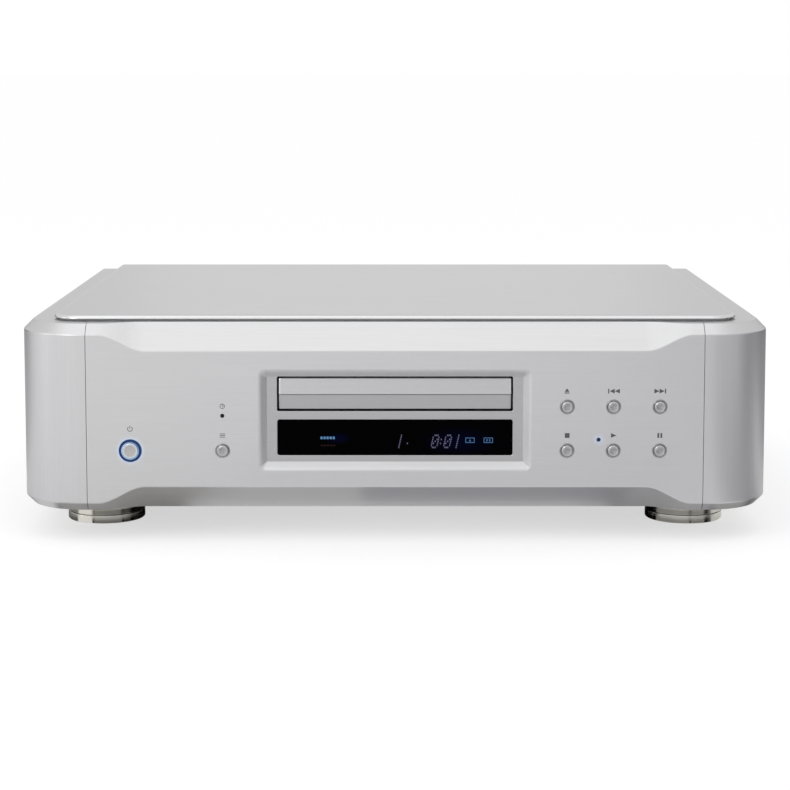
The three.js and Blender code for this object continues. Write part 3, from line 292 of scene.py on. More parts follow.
def add_piece(name, form, materials, slot, *replaced, body="chassis", sharp=30):
    """Ends a bmesh as a piece of the player, in a list of materials."""
    made = linked(name, smooth_mesh(name, form, materials, sharp))
    return enlist(made, slot, *replaced, body=body)


def eased(profile, radius, steps=3):
    """A profile of (radius, height) with each inner corner rounded."""
    points = [Vector(p) for p in profile]
    made = [points[0]]
    for before, corner, after in zip(points, points[1:], points[2:]):
        reach = min(radius, (before - corner).length * 0.45, (after - corner).length * 0.45)
        start = corner + (before - corner).normalized() * reach
        end = corner + (after - corner).normalized() * reach
        for i in range(steps + 1):
            share = i / steps
            near = start.lerp(corner, share)
            made.append(near.lerp(corner.lerp(end, share), share))
    made.append(points[-1])
    return [tuple(p) for p in made]


def lathe(form, profile, centre, axis="Z", steps=64):
    """Turns a profile of (radius, height) round Z or Y: from axis to axis, or a closed loop."""
    rings = []
    for r, h in profile:
        turns = [(r * cos(2 * pi * i / steps), r * sin(2 * pi * i / steps)) for i in range(steps)]
        if r < 1e-6:
            turns = [(0.0, 0.0)]
        ring = []
        for a, b in turns:
            offset = Vector((a, b, h)) if axis == "Z" else Vector((a, h, b))
            ring.append(form.verts.new((Vector(centre) + offset) * MM))
        rings.append(ring)
    for low, high in zip(rings, rings[1:]):
        for i in range(steps):
            j = (i + 1) % steps
            corners = [low[i % len(low)], low[j % len(low)], high[j % len(high)], high[i % len(high)]]
            corners = list(dict.fromkeys(corners))
            if len(corners) > 2:
                form.faces.new(corners)


def turned(profile, centre, axis="Z", steps=64):
    """A new bmesh with one turned profile in it."""
    form = bmesh.new()
    lathe(form, profile, centre, axis, steps)
    return form


def from_axis(tree, place, centre, across):
    """How far a place is from the axis through a centre, measured in the two axes across it."""
    centred = node(tree, "ShaderNodeMapping", {
        "Vector": place, "Location": [-c * MM for c in centre],
    })
    flat = node(tree, "ShaderNodeVectorMath", {
        0: centred, 1: [1.0 if a in across else 0.0 for a in "XYZ"],
    }, operation="MULTIPLY")
    return node(tree, "ShaderNodeVectorMath", {0: flat}, operation="LENGTH")


# How deep the finest relief of a surface is at full strength
RELIEF_DEPTH = 0.2 * MM


# Turned metal: satin off the lathe, and the fine rings left on it draw what it mirrors out into
# bands across them. A dished face is painted darker than the rim round it, as painted shade.
def turned_metal(name, centre, across, colour, roughness, relief, dish=None):
    """across is the pair of axes that the rings lie in, centre a point of the lathe's axis."""
    material, tree = new_material(name)
    place = node(tree, "ShaderNodeTexCoord").outputs["Object"]
    radius = from_axis(tree, place, centre, across)
    height = node(tree, "ShaderNodeVectorMath", {
        0: place, 1: [0.0 if a in across else 1.0 for a in "XYZ"],
    }, operation="DOT_PRODUCT")
    along = node(tree, "ShaderNodeMath", {0: radius, 1: height}, operation="ADD")
    # Rings 0.4 mm apart, coarser than the real ones so that they show
    rings = node(tree, "ShaderNodeTexNoise", {"W": along, "Scale": 2500.0}, noise_dimensions="1D")
    wear = node(tree, "ShaderNodeTexNoise", {"Vector": place, "Scale": 160.0})
    rough = node(tree, "ShaderNodeMapRange", {
        "Value": wear, "From Min": 0.3, "From Max": 0.7,
        "To Min": roughness * 0.85, "To Max": roughness * 1.2,
    })
    tint = node(tree, "ShaderNodeMix", {
        0: rings, 6: linear(colour), 7: linear(colour, 0.85),
    }, data_type="RGBA")
    # The dish's darker colour is painted shade of its hollow
    if dish:
        edge, dish_shade_colour = dish
        dish_shade_share = node(tree, "ShaderNodeMapRange", {
            "Value": radius, "From Min": edge * 0.75 * MM, "From Max": edge * 1.1 * MM,
            "To Min": 1.0, "To Max": 0.0,
        }, interpolation_type="SMOOTHSTEP")
        tint = node(tree, "ShaderNodeMix", {
            0: dish_shade_share, 6: tint, 7: linear(dish_shade_colour),
        }, data_type="RGBA")
    raised = node(tree, "ShaderNodeBump", {
        "Height": rings, "Strength": relief, "Distance": RELIEF_DEPTH,
    })
    close_material(tree, "ShaderNodeBsdfPrincipled", {
        "Base Color": tint, "Metallic": 1.0, "Roughness": rough, "Normal": raised,
    })
    return material


FOOT_RADIUS = 23.5
NECK_RADIUS = 21.5
BASE_HEIGHT = 4.8
GROOVE_TOP = 5.2
FOOT_HEIGHT = 18
FOOT_EDGE = 0.5
FOOT_ROUND = 0.2
FOOT_PLACES = {
    "front_left": (-178.2, -103.2), "front_right": (178.2, -103.2),
    "rear_left": (-178.2, 108), "rear_right": (178.2, 108),
}
FOOT_PROFILES = {
    "foot_base_": [(0, 0)] + eased([
        (FOOT_RADIUS - FOOT_EDGE, 0), (FOOT_RADIUS, FOOT_EDGE),
        (FOOT_RADIUS, BASE_HEIGHT), (0, BASE_HEIGHT),
    ], FOOT_ROUND),
    "foot_": eased([
        (0, BASE_HEIGHT), (NECK_RADIUS, BASE_HEIGHT), (NECK_RADIUS, GROOVE_TOP),
        (FOOT_RADIUS, GROOVE_TOP), (FOOT_RADIUS, FOOT_HEIGHT - FOOT_EDGE),
        (FOOT_RADIUS - FOOT_EDGE, FOOT_HEIGHT), (0, FOOT_HEIGHT),
    ], FOOT_ROUND),
}
for corner, (x, y) in FOOT_PLACES.items():
    steel = turned_metal("turned_steel_foot_" + corner, (x, y, 0), "XY", "#d8d5cd", 0.16, 0.3)
    for part, profile in FOOT_PROFILES.items():
        form = turned(profile, (x, y, 0), steps=96)
        add_piece("turned_" + part + corner, form, [steel], "polished_steel", part + corner)

# Casing walls: the front and each side, with its rounded front corner, are milled from thick
# aluminium bar as one channel section. They are brushed, then clear anodised, which leaves a fine
# straight grain with a soft sheen.

FACE_Y = -175
SHELL_LOW = 18
SHELL_HIGH = 128
SHELL_HEIGHT = SHELL_HIGH - SHELL_LOW
SEAM_X = 179.8
SEAM_GAP = 0.3
LOW_CHAMFER = (4.7, 14.6)
HIGH_CHAMFER = (6, 15.5)
FLANGE_DEPTH = 25
FLANGE_THICKNESS = 12
LIP = 17
LIP_HEIGHT = 3
EDGE = 0.25


# Anodised aluminium: grain lines run along one axis, and their slight spread of shade and
# roughness blurs what the metal mirrors into a soft satin
def brushed_aluminium(name, along, colour="#c9c9ca", roughness=0.36, glow=()):
    """along is the axis of the grain. Each glow is (x, z, inner, outer, strength): a painted glow, blue
    emission on the metal round lit plastic.
    """
    material, tree = new_material(name)
    place = node(tree, "ShaderNodeTexCoord").outputs["Object"]
    # Grain lines 0.7 mm wide and 60 mm long: the real ones are finer than the render can show
    stretch = [(1 / 60 if axis == along else 1 / 0.7) / MM for axis in "XYZ"]
    stretched = node(tree, "ShaderNodeMapping", {"Vector": place, "Scale": stretch})
    grain = node(tree, "ShaderNodeTexNoise", {
        "Vector": stretched, "Scale": 1.0, "Detail": 3.0, "Roughness": 0.65,
    })
    cloud = node(tree, "ShaderNodeTexNoise", {"Vector": place, "Scale": 18.0})
    shade = node(tree, "ShaderNodeMix", {
        0: grain, 6: linear(colour), 7: linear(colour, 0.9),
    }, data_type="RGBA")
    rough = node(tree, "ShaderNodeMapRange", {
        "Value": grain, "From Min": 0.3, "From Max": 0.7,
        "To Min": roughness - 0.03, "To Max": roughness + 0.03,
    })
    softer = node(tree, "ShaderNodeMath", {0: cloud, 1: 0.03, 2: rough}, operation="MULTIPLY_ADD")
    raised = node(tree, "ShaderNodeBump", {
        "Height": grain, "Strength": 0.06, "Distance": RELIEF_DEPTH,
    })
    surface = {
        "Base Color": shade, "Metallic": 1.0, "Roughness": softer, "Normal": raised,
        "Specular Tint": (0.8, 0.8, 0.8, 1),
    }
    # Each painted glow fades out from a lit part as blue emission on the metal
    for x, z, inner, outer, strength in glow:
        reach = node(tree, "ShaderNodeVectorMath", {
            0: place, 1: (x * MM, FACE_Y * MM, z * MM),
        }, operation="DISTANCE")
        painted_spill = node(tree, "ShaderNodeMapRange", {
            "Value": reach, "From Min": inner * MM, "From Max": outer * MM,
            "To Min": strength, "To Max": 0.0,
        }, interpolation_type="SMOOTHSTEP")
        if "Emission Strength" in surface:
            painted_spill = node(tree, "ShaderNodeMath", {
                0: surface["Emission Strength"], 1: painted_spill,
            }, operation="ADD")
        surface["Emission Strength"] = painted_spill
        surface["Emission Color"] = linear("#6cacf0")
    close_material(tree, "ShaderNodeBsdfPrincipled", surface)
    return material


def loft(form, sections):
    """Joins cross-sections of equal length, in millimetres, into a closed body."""
    rings = [[form.verts.new(Vector(p) * MM) for p in section] for section in sections]
    for near, far in zip(rings, rings[1:]):
        for i in range(len(near)):
            j = (i + 1) % len(near)
            form.faces.new((near[i], near[j], far[j], far[i]))
    form.faces.new(rings[0])
    form.faces.new(rings[-1])


def lofted(sections):
    """A new bmesh with one lofted body in it."""
    form = bmesh.new()
    loft(form, sections)
    return form


def wall_section(wall, low, high):
    """The channel as (depth, height) for its two chamfers, with the outer edges broken by a hair."""
    def broken(chamfer):
        return [
            (0, chamfer + EDGE * 2), (EDGE * 0.7, chamfer - EDGE * 0.7),
            (chamfer - EDGE * 0.7, EDGE * 0.7), (chamfer + EDGE * 2, 0),
        ]
    return broken(low) + [
        (LIP, 0), (LIP, LIP_HEIGHT), (FLANGE_DEPTH, LIP_HEIGHT), (FLANGE_DEPTH, FLANGE_THICKNESS),
        (wall, FLANGE_THICKNESS), (wall, SHELL_HEIGHT - FLANGE_THICKNESS),
        (FLANGE_DEPTH, SHELL_HEIGHT - FLANGE_THICKNESS), (FLANGE_DEPTH, SHELL_HEIGHT),
    ] + [(depth, SHELL_HEIGHT - height) for depth, height in reversed(broken(high))]


def settled(made):
    """Applies a piece's modifiers to its mesh."""
    bpy.context.view_layer.update()
    graph = bpy.context.evaluated_depsgraph_get()
    mesh = bpy.data.meshes.new_from_object(made.evaluated_get(graph))
    made.modifiers.clear()
    made.data = mesh


def even_normals(made):
    """Weights normals by face, so that flat faces stay flat to the eye beside rounded ones."""
    weigh = made.modifiers.new("weigh", "WEIGHTED_NORMAL")
    weigh.keep_sharp = True
    settled(made)


SIDE_WALL = 8
CORNER_RADIUS = 38
CORNER_STEPS = 28
HALF_WIDTH = 221
REAR_Y = 160
WALL_SHARP = 12
side_metal = brushed_aluminium("brushed_anodised_aluminium_sides", "Z")
section = wall_section(SIDE_WALL, LOW_CHAMFER[0], HIGH_CHAMFER[0])
# Each station is a point on the wall's outside and the direction of the wall's depth there
stations = [(SEAM_X, FACE_Y, 0, 1)]
for i in range(CORNER_STEPS + 1):
    angle = -pi / 2 + i / CORNER_STEPS * pi / 2
    stations.append((
        HALF_WIDTH - CORNER_RADIUS + CORNER_RADIUS * cos(angle),
        FACE_Y + CORNER_RADIUS + CORNER_RADIUS * sin(angle), -cos(angle), -sin(angle),
    ))
stations.append((HALF_WIDTH, REAR_Y, -1, 0))
for name, side in (("left", -1), ("right", 1)):
    form = lofted([
        [(side * (x + u * depth), y + v * depth, SHELL_LOW + height) for depth, height in section]
        for x, y, u, v in stations
    ])
    even_normals(add_piece(
        "milled_side_wall_" + name, form, [side_metal], "brushed_aluminium", "side_panel_" + name,
        sharp=WALL_SHARP,
    ))

# Front panel: the middle length of the same channel. Its two chamfers sweep deeper towards the
# middle, and a recess, the tray opening, the window and the button holes are milled through it.
# The recess's floor is cut duller and painted darker, as painted shade, and its roof and right
# wall are painted lighter, as painted light.

TURN_OUTER = 173.5
TURN_INNER = 146
TURN_STEPS = 20
FRONT_WALL = 11
WALL_BACK_Y = FACE_Y + FRONT_WALL
RECESS_DEPTH = 4
RECESS_FLOOR_Y = FACE_Y + RECESS_DEPTH
RECESS = (78.8, 42.8, 100.9)
RECESS_FLOOR = (74.7, 46.9, 97.0)
RECESS_CORNER = 3
FLOOR_CORNER = 0.5
RECESS_EDGE = 1.1
RECESS_EDGE_STEPS = 6
TRAY_OPENING = (68.8, 76.6, 97.1)
WINDOW_OPENING = (68.7, 50.5, 71.7)
BUTTON_PLACES = {
    "open": (100.2, 79.8), "previous": (127.1, 79.8), "next": (154.1, 79.8),
    "stop": (100.2, 54), "play": (127.1, 54), "pause": (154.1, 54), "mode": (-100.4, 54),
}
BUTTON_HOLE = 3.5
BUTTON_DISH = (4.45, 0.5)
POWER_PLACE = (-154.2, 54)
POWER_HOLE = 6.6
LAMP_PLACES = {"play": (118.5, 60.5), "clock": (-100.4, 74.6)}
LAMP_HOLE = 1.05
BREAK = 0.2
# How far cutters run past the metal where they enter it, and where they leave it
PAST = 0.5
THROUGH_Y = WALL_BACK_Y + 1
FRONT_SHARP = 14


def chamfer_at(chamfer, x):
    """How deep a chamfer of (end, middle) is at a place along the front."""
    share = min(1, max(0, (TURN_OUTER - abs(x)) / (TURN_OUTER - TURN_INNER)))
    return chamfer[0] + (chamfer[1] - chamfer[0]) * share * share * (3 - 2 * share)


def rounded(half, low, high, radius, y, steps=6, middle=0):
    """A rounded rectangle's outline at a depth, in millimetres."""
    outline = []
    for x, z, start in (
        (half - radius, low + radius, -90), (half - radius, high - radius, 0),
        (radius - half, high - radius, 90), (radius - half, low + radius, 180),
    ):
        for i in range(steps + 1):
            angle = radians(start + 90 * i / steps)
            outline.append((middle + x + radius * cos(angle), y, z + radius * sin(angle)))
    return outline


def grown(shape, by):
    """A (half width, low, high) shape grown on all four sides."""
    return (shape[0] + by, shape[1] - by, shape[2] + by)


def machined(made, forms, sharp):
    """Cuts bmeshes out of a piece, whose edges stay sharp where they turn more than sharp."""
    cutters = [linked("tool", closed_mesh("tool", form)) for form in forms]
    for cutter in cutters:
        step = made.modifiers.new("cut", "BOOLEAN")
        step.operation = "DIFFERENCE"
        step.solver = "EXACT"
        step.object = cutter
    settled(made)
    for cutter in cutters:
        bpy.data.objects.remove(cutter)
    made.data.set_sharp_from_angle(angle=radians(sharp))


def opening_tool(shape, radius):
    """A straight cutter for a rectangular opening, with a small lead-in at the recess's floor."""
    return lofted([
        rounded(*grown(shape, BREAK + PAST), radius + BREAK, RECESS_FLOOR_Y - PAST),
        rounded(*shape, radius, RECESS_FLOOR_Y + BREAK),
        rounded(*shape, radius, THROUGH_Y),
    ])


def hole_tool(place, radius, steps=40, dish=None):
    """A drill with a countersink where it enters the face: a small one or a (radius, depth) dish."""
    wide, deep = dish or (radius + BREAK, BREAK)
    return turned([
        (0, FACE_Y - 1), (wide + (wide - radius) / deep, FACE_Y - 1), (wide, FACE_Y),
        (radius, FACE_Y + deep), (radius, THROUGH_Y), (0, THROUGH_Y),
    ], (place[0], 0, place[1]), "Y", steps)


# The face carries a painted glow round the power ring and the play lamp
front_metal = brushed_aluminium("brushed_anodised_aluminium_front", "X", glow=(
    (*POWER_PLACE, 6.2, 9.3, 0.22), (*LAMP_PLACES["play"], 1.0, 4.5, 0.16),
))
# The recess floor: the same metal cut duller, and painted darker as painted shade
recess_floor_painted_shade = brushed_aluminium(
    "milled_aluminium_recess_painted_shade", "X", colour="#b4b4b5", roughness=0.42,
)
# The roof and the right wall of the recess: the same metal cut duller, and painted lighter as
# painted light
recess_walls_painted_light = brushed_aluminium(
    "milled_aluminium_recess_walls_painted_light", "X", colour="#d4d4d5", roughness=0.6,
)
stations = [SEAM_X - SEAM_GAP]
for i in range(TURN_STEPS + 1):
    stations.append(TURN_OUTER + (TURN_INNER - TURN_OUTER) * i / TURN_STEPS)
sections = []
for x in [-s for s in stations] + stations[::-1]:
    section = wall_section(FRONT_WALL, chamfer_at(LOW_CHAMFER, x), chamfer_at(HIGH_CHAMFER, x))
    sections.append([(x, FACE_Y + depth, SHELL_LOW + height) for depth, height in section])
front = add_piece(
    "milled_front_panel", lofted(sections), [front_metal, recess_floor_painted_shade, recess_walls_painted_light],
    "brushed_aluminium", "front_panel", sharp=WALL_SHARP,
)
sections = [rounded(*grown(RECESS, RECESS_EDGE + 0.4), RECESS_CORNER + RECESS_EDGE, FACE_Y - 1)]
for i in range(RECESS_EDGE_STEPS + 1):
    # The recess's rim is softened into the face by a small round
    share = i / RECESS_EDGE_STEPS
    inset = RECESS_EDGE * (1 - share) ** 2
    depth = FACE_Y + RECESS_EDGE * share ** 2
    lean = (depth - FACE_Y) / RECESS_DEPTH
    shape = [wide + (narrow - wide) * lean for wide, narrow in zip(RECESS, RECESS_FLOOR)]
    radius = RECESS_CORNER + (FLOOR_CORNER - RECESS_CORNER) * lean
    sections.append(rounded(*grown(shape, inset), radius + inset, depth))
sections.append(rounded(*RECESS_FLOOR, FLOOR_CORNER, RECESS_FLOOR_Y))
machined(front, [
    lofted(sections), opening_tool(TRAY_OPENING, 0.9), opening_tool(WINDOW_OPENING, 1.2),
    hole_tool(POWER_PLACE, POWER_HOLE, steps=64),
    *[hole_tool(spot, BUTTON_HOLE, dish=BUTTON_DISH) for spot in BUTTON_PLACES.values()],
    *[hole_tool(spot, LAMP_HOLE, steps=24) for spot in LAMP_PLACES.values()],
], FRONT_SHARP)
# Sunk faces take the recess's painted shade, or the painted light of its roof and right wall
for face in front.data.polygons:
    x, y, z = face.center
    sunk = y < RECESS_FLOOR_Y * MM
    on_floor = face.normal.y < -0.99 and abs(y - RECESS_FLOOR_Y * MM) < 0.05 * MM
    # The rounded lower right corner takes the floor's darker metal too, as painted shade over its glint
    corner_painted_shade = sunk and abs(x) < (RECESS[0] + RECESS_EDGE) * MM and (
        face.normal.x < -0.15 and face.normal.z > 0.15
    )
    inside = sunk and abs(x) < RECESS[0] * MM and RECESS[1] * MM < z < RECESS[2] * MM
    if on_floor or corner_painted_shade:
        face.material_index = 1
    elif inside and min(face.normal.x, face.normal.z) < -0.3:
        face.material_index = 2
even_normals(front)

# Top plate: a thinner aluminium sheet over a smaller step, so that a dark gap shows all round
# under its rounded edge, its shade partly real and partly painted by the step's grey. It is brushed
# from side to side and anodised, and its front edge is polished and painted lighter, as a painted
# highlight.

TOP_LOW = 129.2
TOP_HIGH = 131.5
TOP_HALF_WIDTH = 202
TOP_FRONT_Y = -158.5
TOP_REAR_Y = 159
TOP_CORNER = 16
TOP_CORNER_STEPS = 16
TOP_STEP = 3
TOP_UNDER = 0.2
TOP_FALL = 2.1
TOP_RUN = 3.8
TOP_EDGE_STEPS = 10


def top_outline(inset, z):
    """The plate's outline, with rounded front corners, at an inset from its edge."""
    half = TOP_HALF_WIDTH - inset
    front_y = TOP_FRONT_Y + inset
    radius = TOP_CORNER - inset
    outline = [(half, TOP_REAR_Y - inset, z), (-half, TOP_REAR_Y - inset, z)]
    for x, start in ((radius - half, 180), (half - radius, 270)):
        for i in range(TOP_CORNER_STEPS + 1):
            angle = radians(start + 90 * i / TOP_CORNER_STEPS)
            outline.append((x + radius * cos(angle), front_y + radius + radius * sin(angle), z))
    return outline


# Textured paint: fine-grained and nearly matt, with a scatter of paler specks on its peaks
def coated(name, colour, second, roughness, grain=0.5, relief=0.25, metallic=0.0, speck=0.5):
    """A coat or moulded skin whose grain is a size in millimetres."""
    material, tree = new_material(name)
    place = node(tree, "ShaderNodeTexCoord").outputs["Object"]
    fine = node(tree, "ShaderNodeTexNoise", {
        "Vector": place, "Scale": 1 / (grain * MM), "Detail": 3.0,
    })
    broad = node(tree, "ShaderNodeTexNoise", {"Vector": place, "Scale": 25.0})
    mixed = node(tree, "ShaderNodeMath", {0: fine, 1: broad}, operation="MULTIPLY")
    share = node(tree, "ShaderNodeMapRange", {
        "Value": mixed, "From Min": 0.15, "From Max": 0.15 + speck,
    })
    shade = node(tree, "ShaderNodeMix", {
        0: share, 6: linear(colour), 7: linear(second),
    }, data_type="RGBA")
    rough = node(tree, "ShaderNodeMapRange", {
        "Value": fine, "From Min": 0.3, "From Max": 0.7,
        "To Min": max(0.02, roughness - 0.06), "To Max": roughness + 0.06,
    })
    raised = node(tree, "ShaderNodeBump", {
        "Height": fine, "Strength": relief, "Distance": RELIEF_DEPTH,
    })
    close_material(tree, "ShaderNodeBsdfPrincipled", {
        "Base Color": shade, "Metallic": metallic, "Roughness": rough, "Normal": raised,
    })
    return material


top_metal = brushed_aluminium("brushed_anodised_aluminium_top", "X", roughness=0.34)
# Grey anodising: even and nearly matt; its tone is painted shade, set for how dark the gap looks
step_painted_shade = coated("grey_step_painted_shade", "#bebec0", "#c8c8ca", 0.5, relief=0.1)
# Polished edge: the same metal cut smoother and painted lighter, a painted highlight that shows as
# a thin light line
bright_edge_painted_highlight = brushed_aluminium("bright_cut_edge_painted_highlight", "X", colour="#d6d6d7", roughness=0.25)
sections = [
    top_outline(TOP_STEP, SHELL_HIGH), top_outline(TOP_STEP, TOP_LOW),
    top_outline(TOP_UNDER, TOP_LOW),
]
for i in range(TOP_EDGE_STEPS + 1):
    angle = i / TOP_EDGE_STEPS * pi / 2
    fall = TOP_FALL * (1 - sin(angle))
    sections.append(top_outline(TOP_RUN * (1 - cos(angle)), TOP_HIGH - fall))
top = add_piece(
    "brushed_top_sheet", lofted(sections), [top_metal, step_painted_shade, bright_edge_painted_highlight],
    "brushed_aluminium", "top_plate", sharp=35,
)
for face in top.data.polygons:
    # The step's faces take the painted shade of the gap
    if face.center.z < (TOP_LOW + 0.05) * MM:
        face.material_index = 1
    # Only the rounded edge along the front takes the painted highlight
    elif face.normal.z < 0.95 and face.center.y < (TOP_FRONT_Y + TOP_CORNER) * MM:
        face.material_index = 2
even_normals(top)

# Bottom plate: zinc plated steel sheet let into the walls' rebate. It keeps its CAD shape, with
# its screws added by the fasteners' section below.


def refinish(material, *names):
    """Gives CAD nodes that keep their shape the material of the real pieces."""
    for name in names:
        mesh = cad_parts[name].data
        mesh.materials.clear()
        mesh.materials.append(material)


# Zinc plating: dull silver, clouded, with a faint yellow-blue cast
zinc = coated("zinc_plated_steel", "#9a9c9c", "#b8b7ae", 0.38, grain=6, relief=0.04, metallic=1.0)
refinish(zinc, "bottom_plate")

# Tray: moulded in black ABS with a well for the disc, a lower one for small discs, and a slot for
# the platter and pickup. Its rack runs along the left underside, and rails in the base carry it.

TRAY_HALF = 67
TRAY_FRONT_Y = -161
TRAY_REAR_Y = 15
TRAY_LOW = 82
TRAY_HIGH = 90
TRAY_WALL = 7
TRAY_CORNER = 2
TRAY_ROUND = 0.8
TRAY_SHARP = 20
SPINDLE_Y = -92
WELL_RADIUS = 61
WELL_FLOOR = 87
SMALL_WELL_RADIUS = 40.5
SMALL_WELL_FLOOR = 86.3
UNDER_HEIGHT = 85.2
SLOT_HALF = 18
SLOT_STEPS = 24
PITCH = pi
BACKLASH = 0.3
PRESSURE_ANGLE = radians(20)
RACK_ROOT_X = -60.4
RACK_BACK_X = RACK_ROOT_X - 3.6
RACK_DEDENDUM = 1.25
RACK_ADDENDUM = 0.9
RACK_LOW = 78
RACK_HIGH = TRAY_LOW + 0.5
RACK_FRONT_Y = -159
RACK_REAR_Y = 14
GEAR_Y = -138


def tray_outline(inset, z):
    """The tray's outline lying flat, at an inset from its edge."""
    outline = rounded(
        TRAY_HALF - inset, TRAY_FRONT_Y + inset, TRAY_REAR_Y - inset, TRAY_CORNER, 0, steps=5,
    )
    return [(x, y, z) for x, _, y in outline]


# Moulded ABS: near black, with the fine even grain of a spark-eroded mould
black_abs = coated("fine_grained_black_abs", "#131314", "#1f1f21", 0.5, grain=0.6, relief=0.3)
tray = add_piece("moulded_disc_tray", lofted([
    tray_outline(TRAY_ROUND * (1 - sin(angle)), z) for angle, z in (
        (pi / 2, TRAY_LOW), (pi / 2, TRAY_HIGH - TRAY_ROUND),
        (pi / 4, TRAY_HIGH - TRAY_ROUND * 0.3), (0, TRAY_HIGH),
    )
]), [black_abs], "black_plastic", "tray", body="tray", sharp=TRAY_SHARP)
cutters = [lofted([tray_outline(TRAY_WALL, z) for z in (TRAY_LOW - 1, UNDER_HEIGHT)])]
for radius, floor_z, top_z, lead in (
    (WELL_RADIUS, WELL_FLOOR, TRAY_HIGH, 0.8),
    (SMALL_WELL_RADIUS, SMALL_WELL_FLOOR, WELL_FLOOR, 0.5),
):
    cutters.append(turned([
        (0, floor_z), (radius - 0.4, floor_z), (radius, floor_z + 0.4), (radius, top_z - lead),
        (radius + lead + PAST, top_z + PAST), (0, top_z + PAST),
    ], (0, SPINDLE_Y, 0), steps=120))
slot = [(SLOT_HALF, TRAY_REAR_Y + 1), (-SLOT_HALF, TRAY_REAR_Y + 1)]
for i in range(SLOT_STEPS + 1):
    angle = pi + pi * i / SLOT_STEPS
    slot.append((SLOT_HALF * cos(angle), SPINDLE_Y + SLOT_HALF * sin(angle)))
cutters.append(lofted([[(x, y, z) for x, y in slot] for z in (TRAY_LOW - 1, TRAY_HIGH + 1)]))
machined(tray, cutters, TRAY_SHARP)
even_normals(tray)


def new_group(name, sizes):
    """A Geometry Nodes group that takes geometry and named sizes, and its inputs as sockets."""
    group = bpy.data.node_groups.new(name, "GeometryNodeTree")
    group.interface.new_socket("Geometry", in_out="INPUT", socket_type="NodeSocketGeometry")
    for label, kind in sizes.items():
        group.interface.new_socket(label, in_out="INPUT", socket_type="NodeSocket" + kind)
    group.interface.new_socket("Geometry", in_out="OUTPUT", socket_type="NodeSocketGeometry")
    return group, node(group, "NodeGroupInput").outputs


def close_group(group, points, instance, material, **inputs):
    """Stands an instance on each point, makes them real, gives them their material and ends."""
    placed = node(group, "GeometryNodeInstanceOnPoints", {
        "Points": points, "Instance": instance, **inputs,
    })
    real = node(group, "GeometryNodeRealizeInstances", {"Geometry": placed})
    finish = node(group, "GeometryNodeSetMaterial", {"Geometry": real, "Material": material})
    node(group, "NodeGroupOutput", {"Geometry": finish})


def repeated(name, seed, group, sizes, slot, *replaced, body="chassis"):
    """Runs a group on a seed mesh and makes the result one plain mesh, as a piece."""
    made = linked(name, seed)
    step = made.modifiers.new("repeat", "NODES")
    step.node_group = group
    for socket in group.interface.items_tree:
        if socket.in_out == "INPUT" and socket.name in sizes:
            step[socket.identifier] = sizes[socket.name]
    settled(made)
    made.data.shade_smooth()
    made.data.set_sharp_from_angle(angle=radians(30))
    return enlist(made, slot, *replaced, body=body)


def points_mesh(name, spots):
    """A mesh of loose points, given in millimetres."""
    mesh = bpy.data.meshes.new(name)
    mesh.from_pydata([[c * MM for c in spot] for spot in spots], [], [])
    return mesh


rack_group, given = new_group("rack_teeth", {"Count": "Int", "Pitch": "Float"})
run = node(rack_group, "ShaderNodeCombineXYZ", {"Y": given["Pitch"]})
places = node(rack_group, "GeometryNodeMeshLine", {
    "Count": given["Count"], "Offset": run,
}, mode="OFFSET")
close_group(rack_group, places, given["Geometry"], black_abs)
first = -int((GEAR_Y - RACK_FRONT_Y) / PITCH) + 1
tooth_y = GEAR_Y + (first - 0.5) * PITCH
pitch_x = RACK_ROOT_X + RACK_DEDENDUM
flank = []
for x in (RACK_ROOT_X - 0.5, pitch_x + RACK_ADDENDUM):
    slope = (max(x, RACK_ROOT_X) - pitch_x) * tan(PRESSURE_ANGLE)
    flank.append((x, PITCH / 4 - BACKLASH / 4 - slope))
(root_x, root_half), (tip_x, tip_half) = flank
tooth = lofted([
    [
        (root_x, tooth_y - root_half, z), (tip_x, tooth_y - tip_half, z),
        (tip_x, tooth_y + tip_half, z), (root_x, tooth_y + root_half, z),
    ]
    for z in (RACK_LOW, RACK_HIGH)
])
repeated(
    "moulded_rack_teeth", smooth_mesh("tooth", tooth, [black_abs]), rack_group,
    {"Count": int((RACK_REAR_Y - tooth_y) / PITCH), "Pitch": PITCH * MM},
    "black_plastic", "tray", body="tray",
)
rib = [
    (RACK_BACK_X, RACK_REAR_Y), (RACK_BACK_X, RACK_FRONT_Y),
    (RACK_BACK_X + 0.6, RACK_FRONT_Y - 0.3), (RACK_ROOT_X, RACK_FRONT_Y - 0.3),
    (RACK_ROOT_X, RACK_REAR_Y),
]
add_piece("moulded_rack_rib", lofted([
    [(x, y, z) for x, y in rib] for z in (RACK_LOW, RACK_HIGH)
]), [black_abs], "black_plastic", "tray", body="tray")

# Tray front: a separate bar of the same aluminium. Its upper facet ends in a lip over a fine
# groove, the lower one falls back below in the recess floor's darker metal as painted shade, and
# both ends are cut bright with a painted highlight. Screws hold it from behind.

TRAY_FRONT_HALF = 67.6
TRAY_FRONT_LOW = 77.8
TRAY_FRONT_HIGH = 96.1
LIP_Z = 86.6
LIP_Y = -171.6
GROOVE_LOW_Z = 86.3
GROOVE_Y = -170.1
TRAY_EDGE_Y = -170
TRAY_BACK_Y = -161
BEVEL_WIDTH = 0.8
BEVEL_DEPTH = 0.35
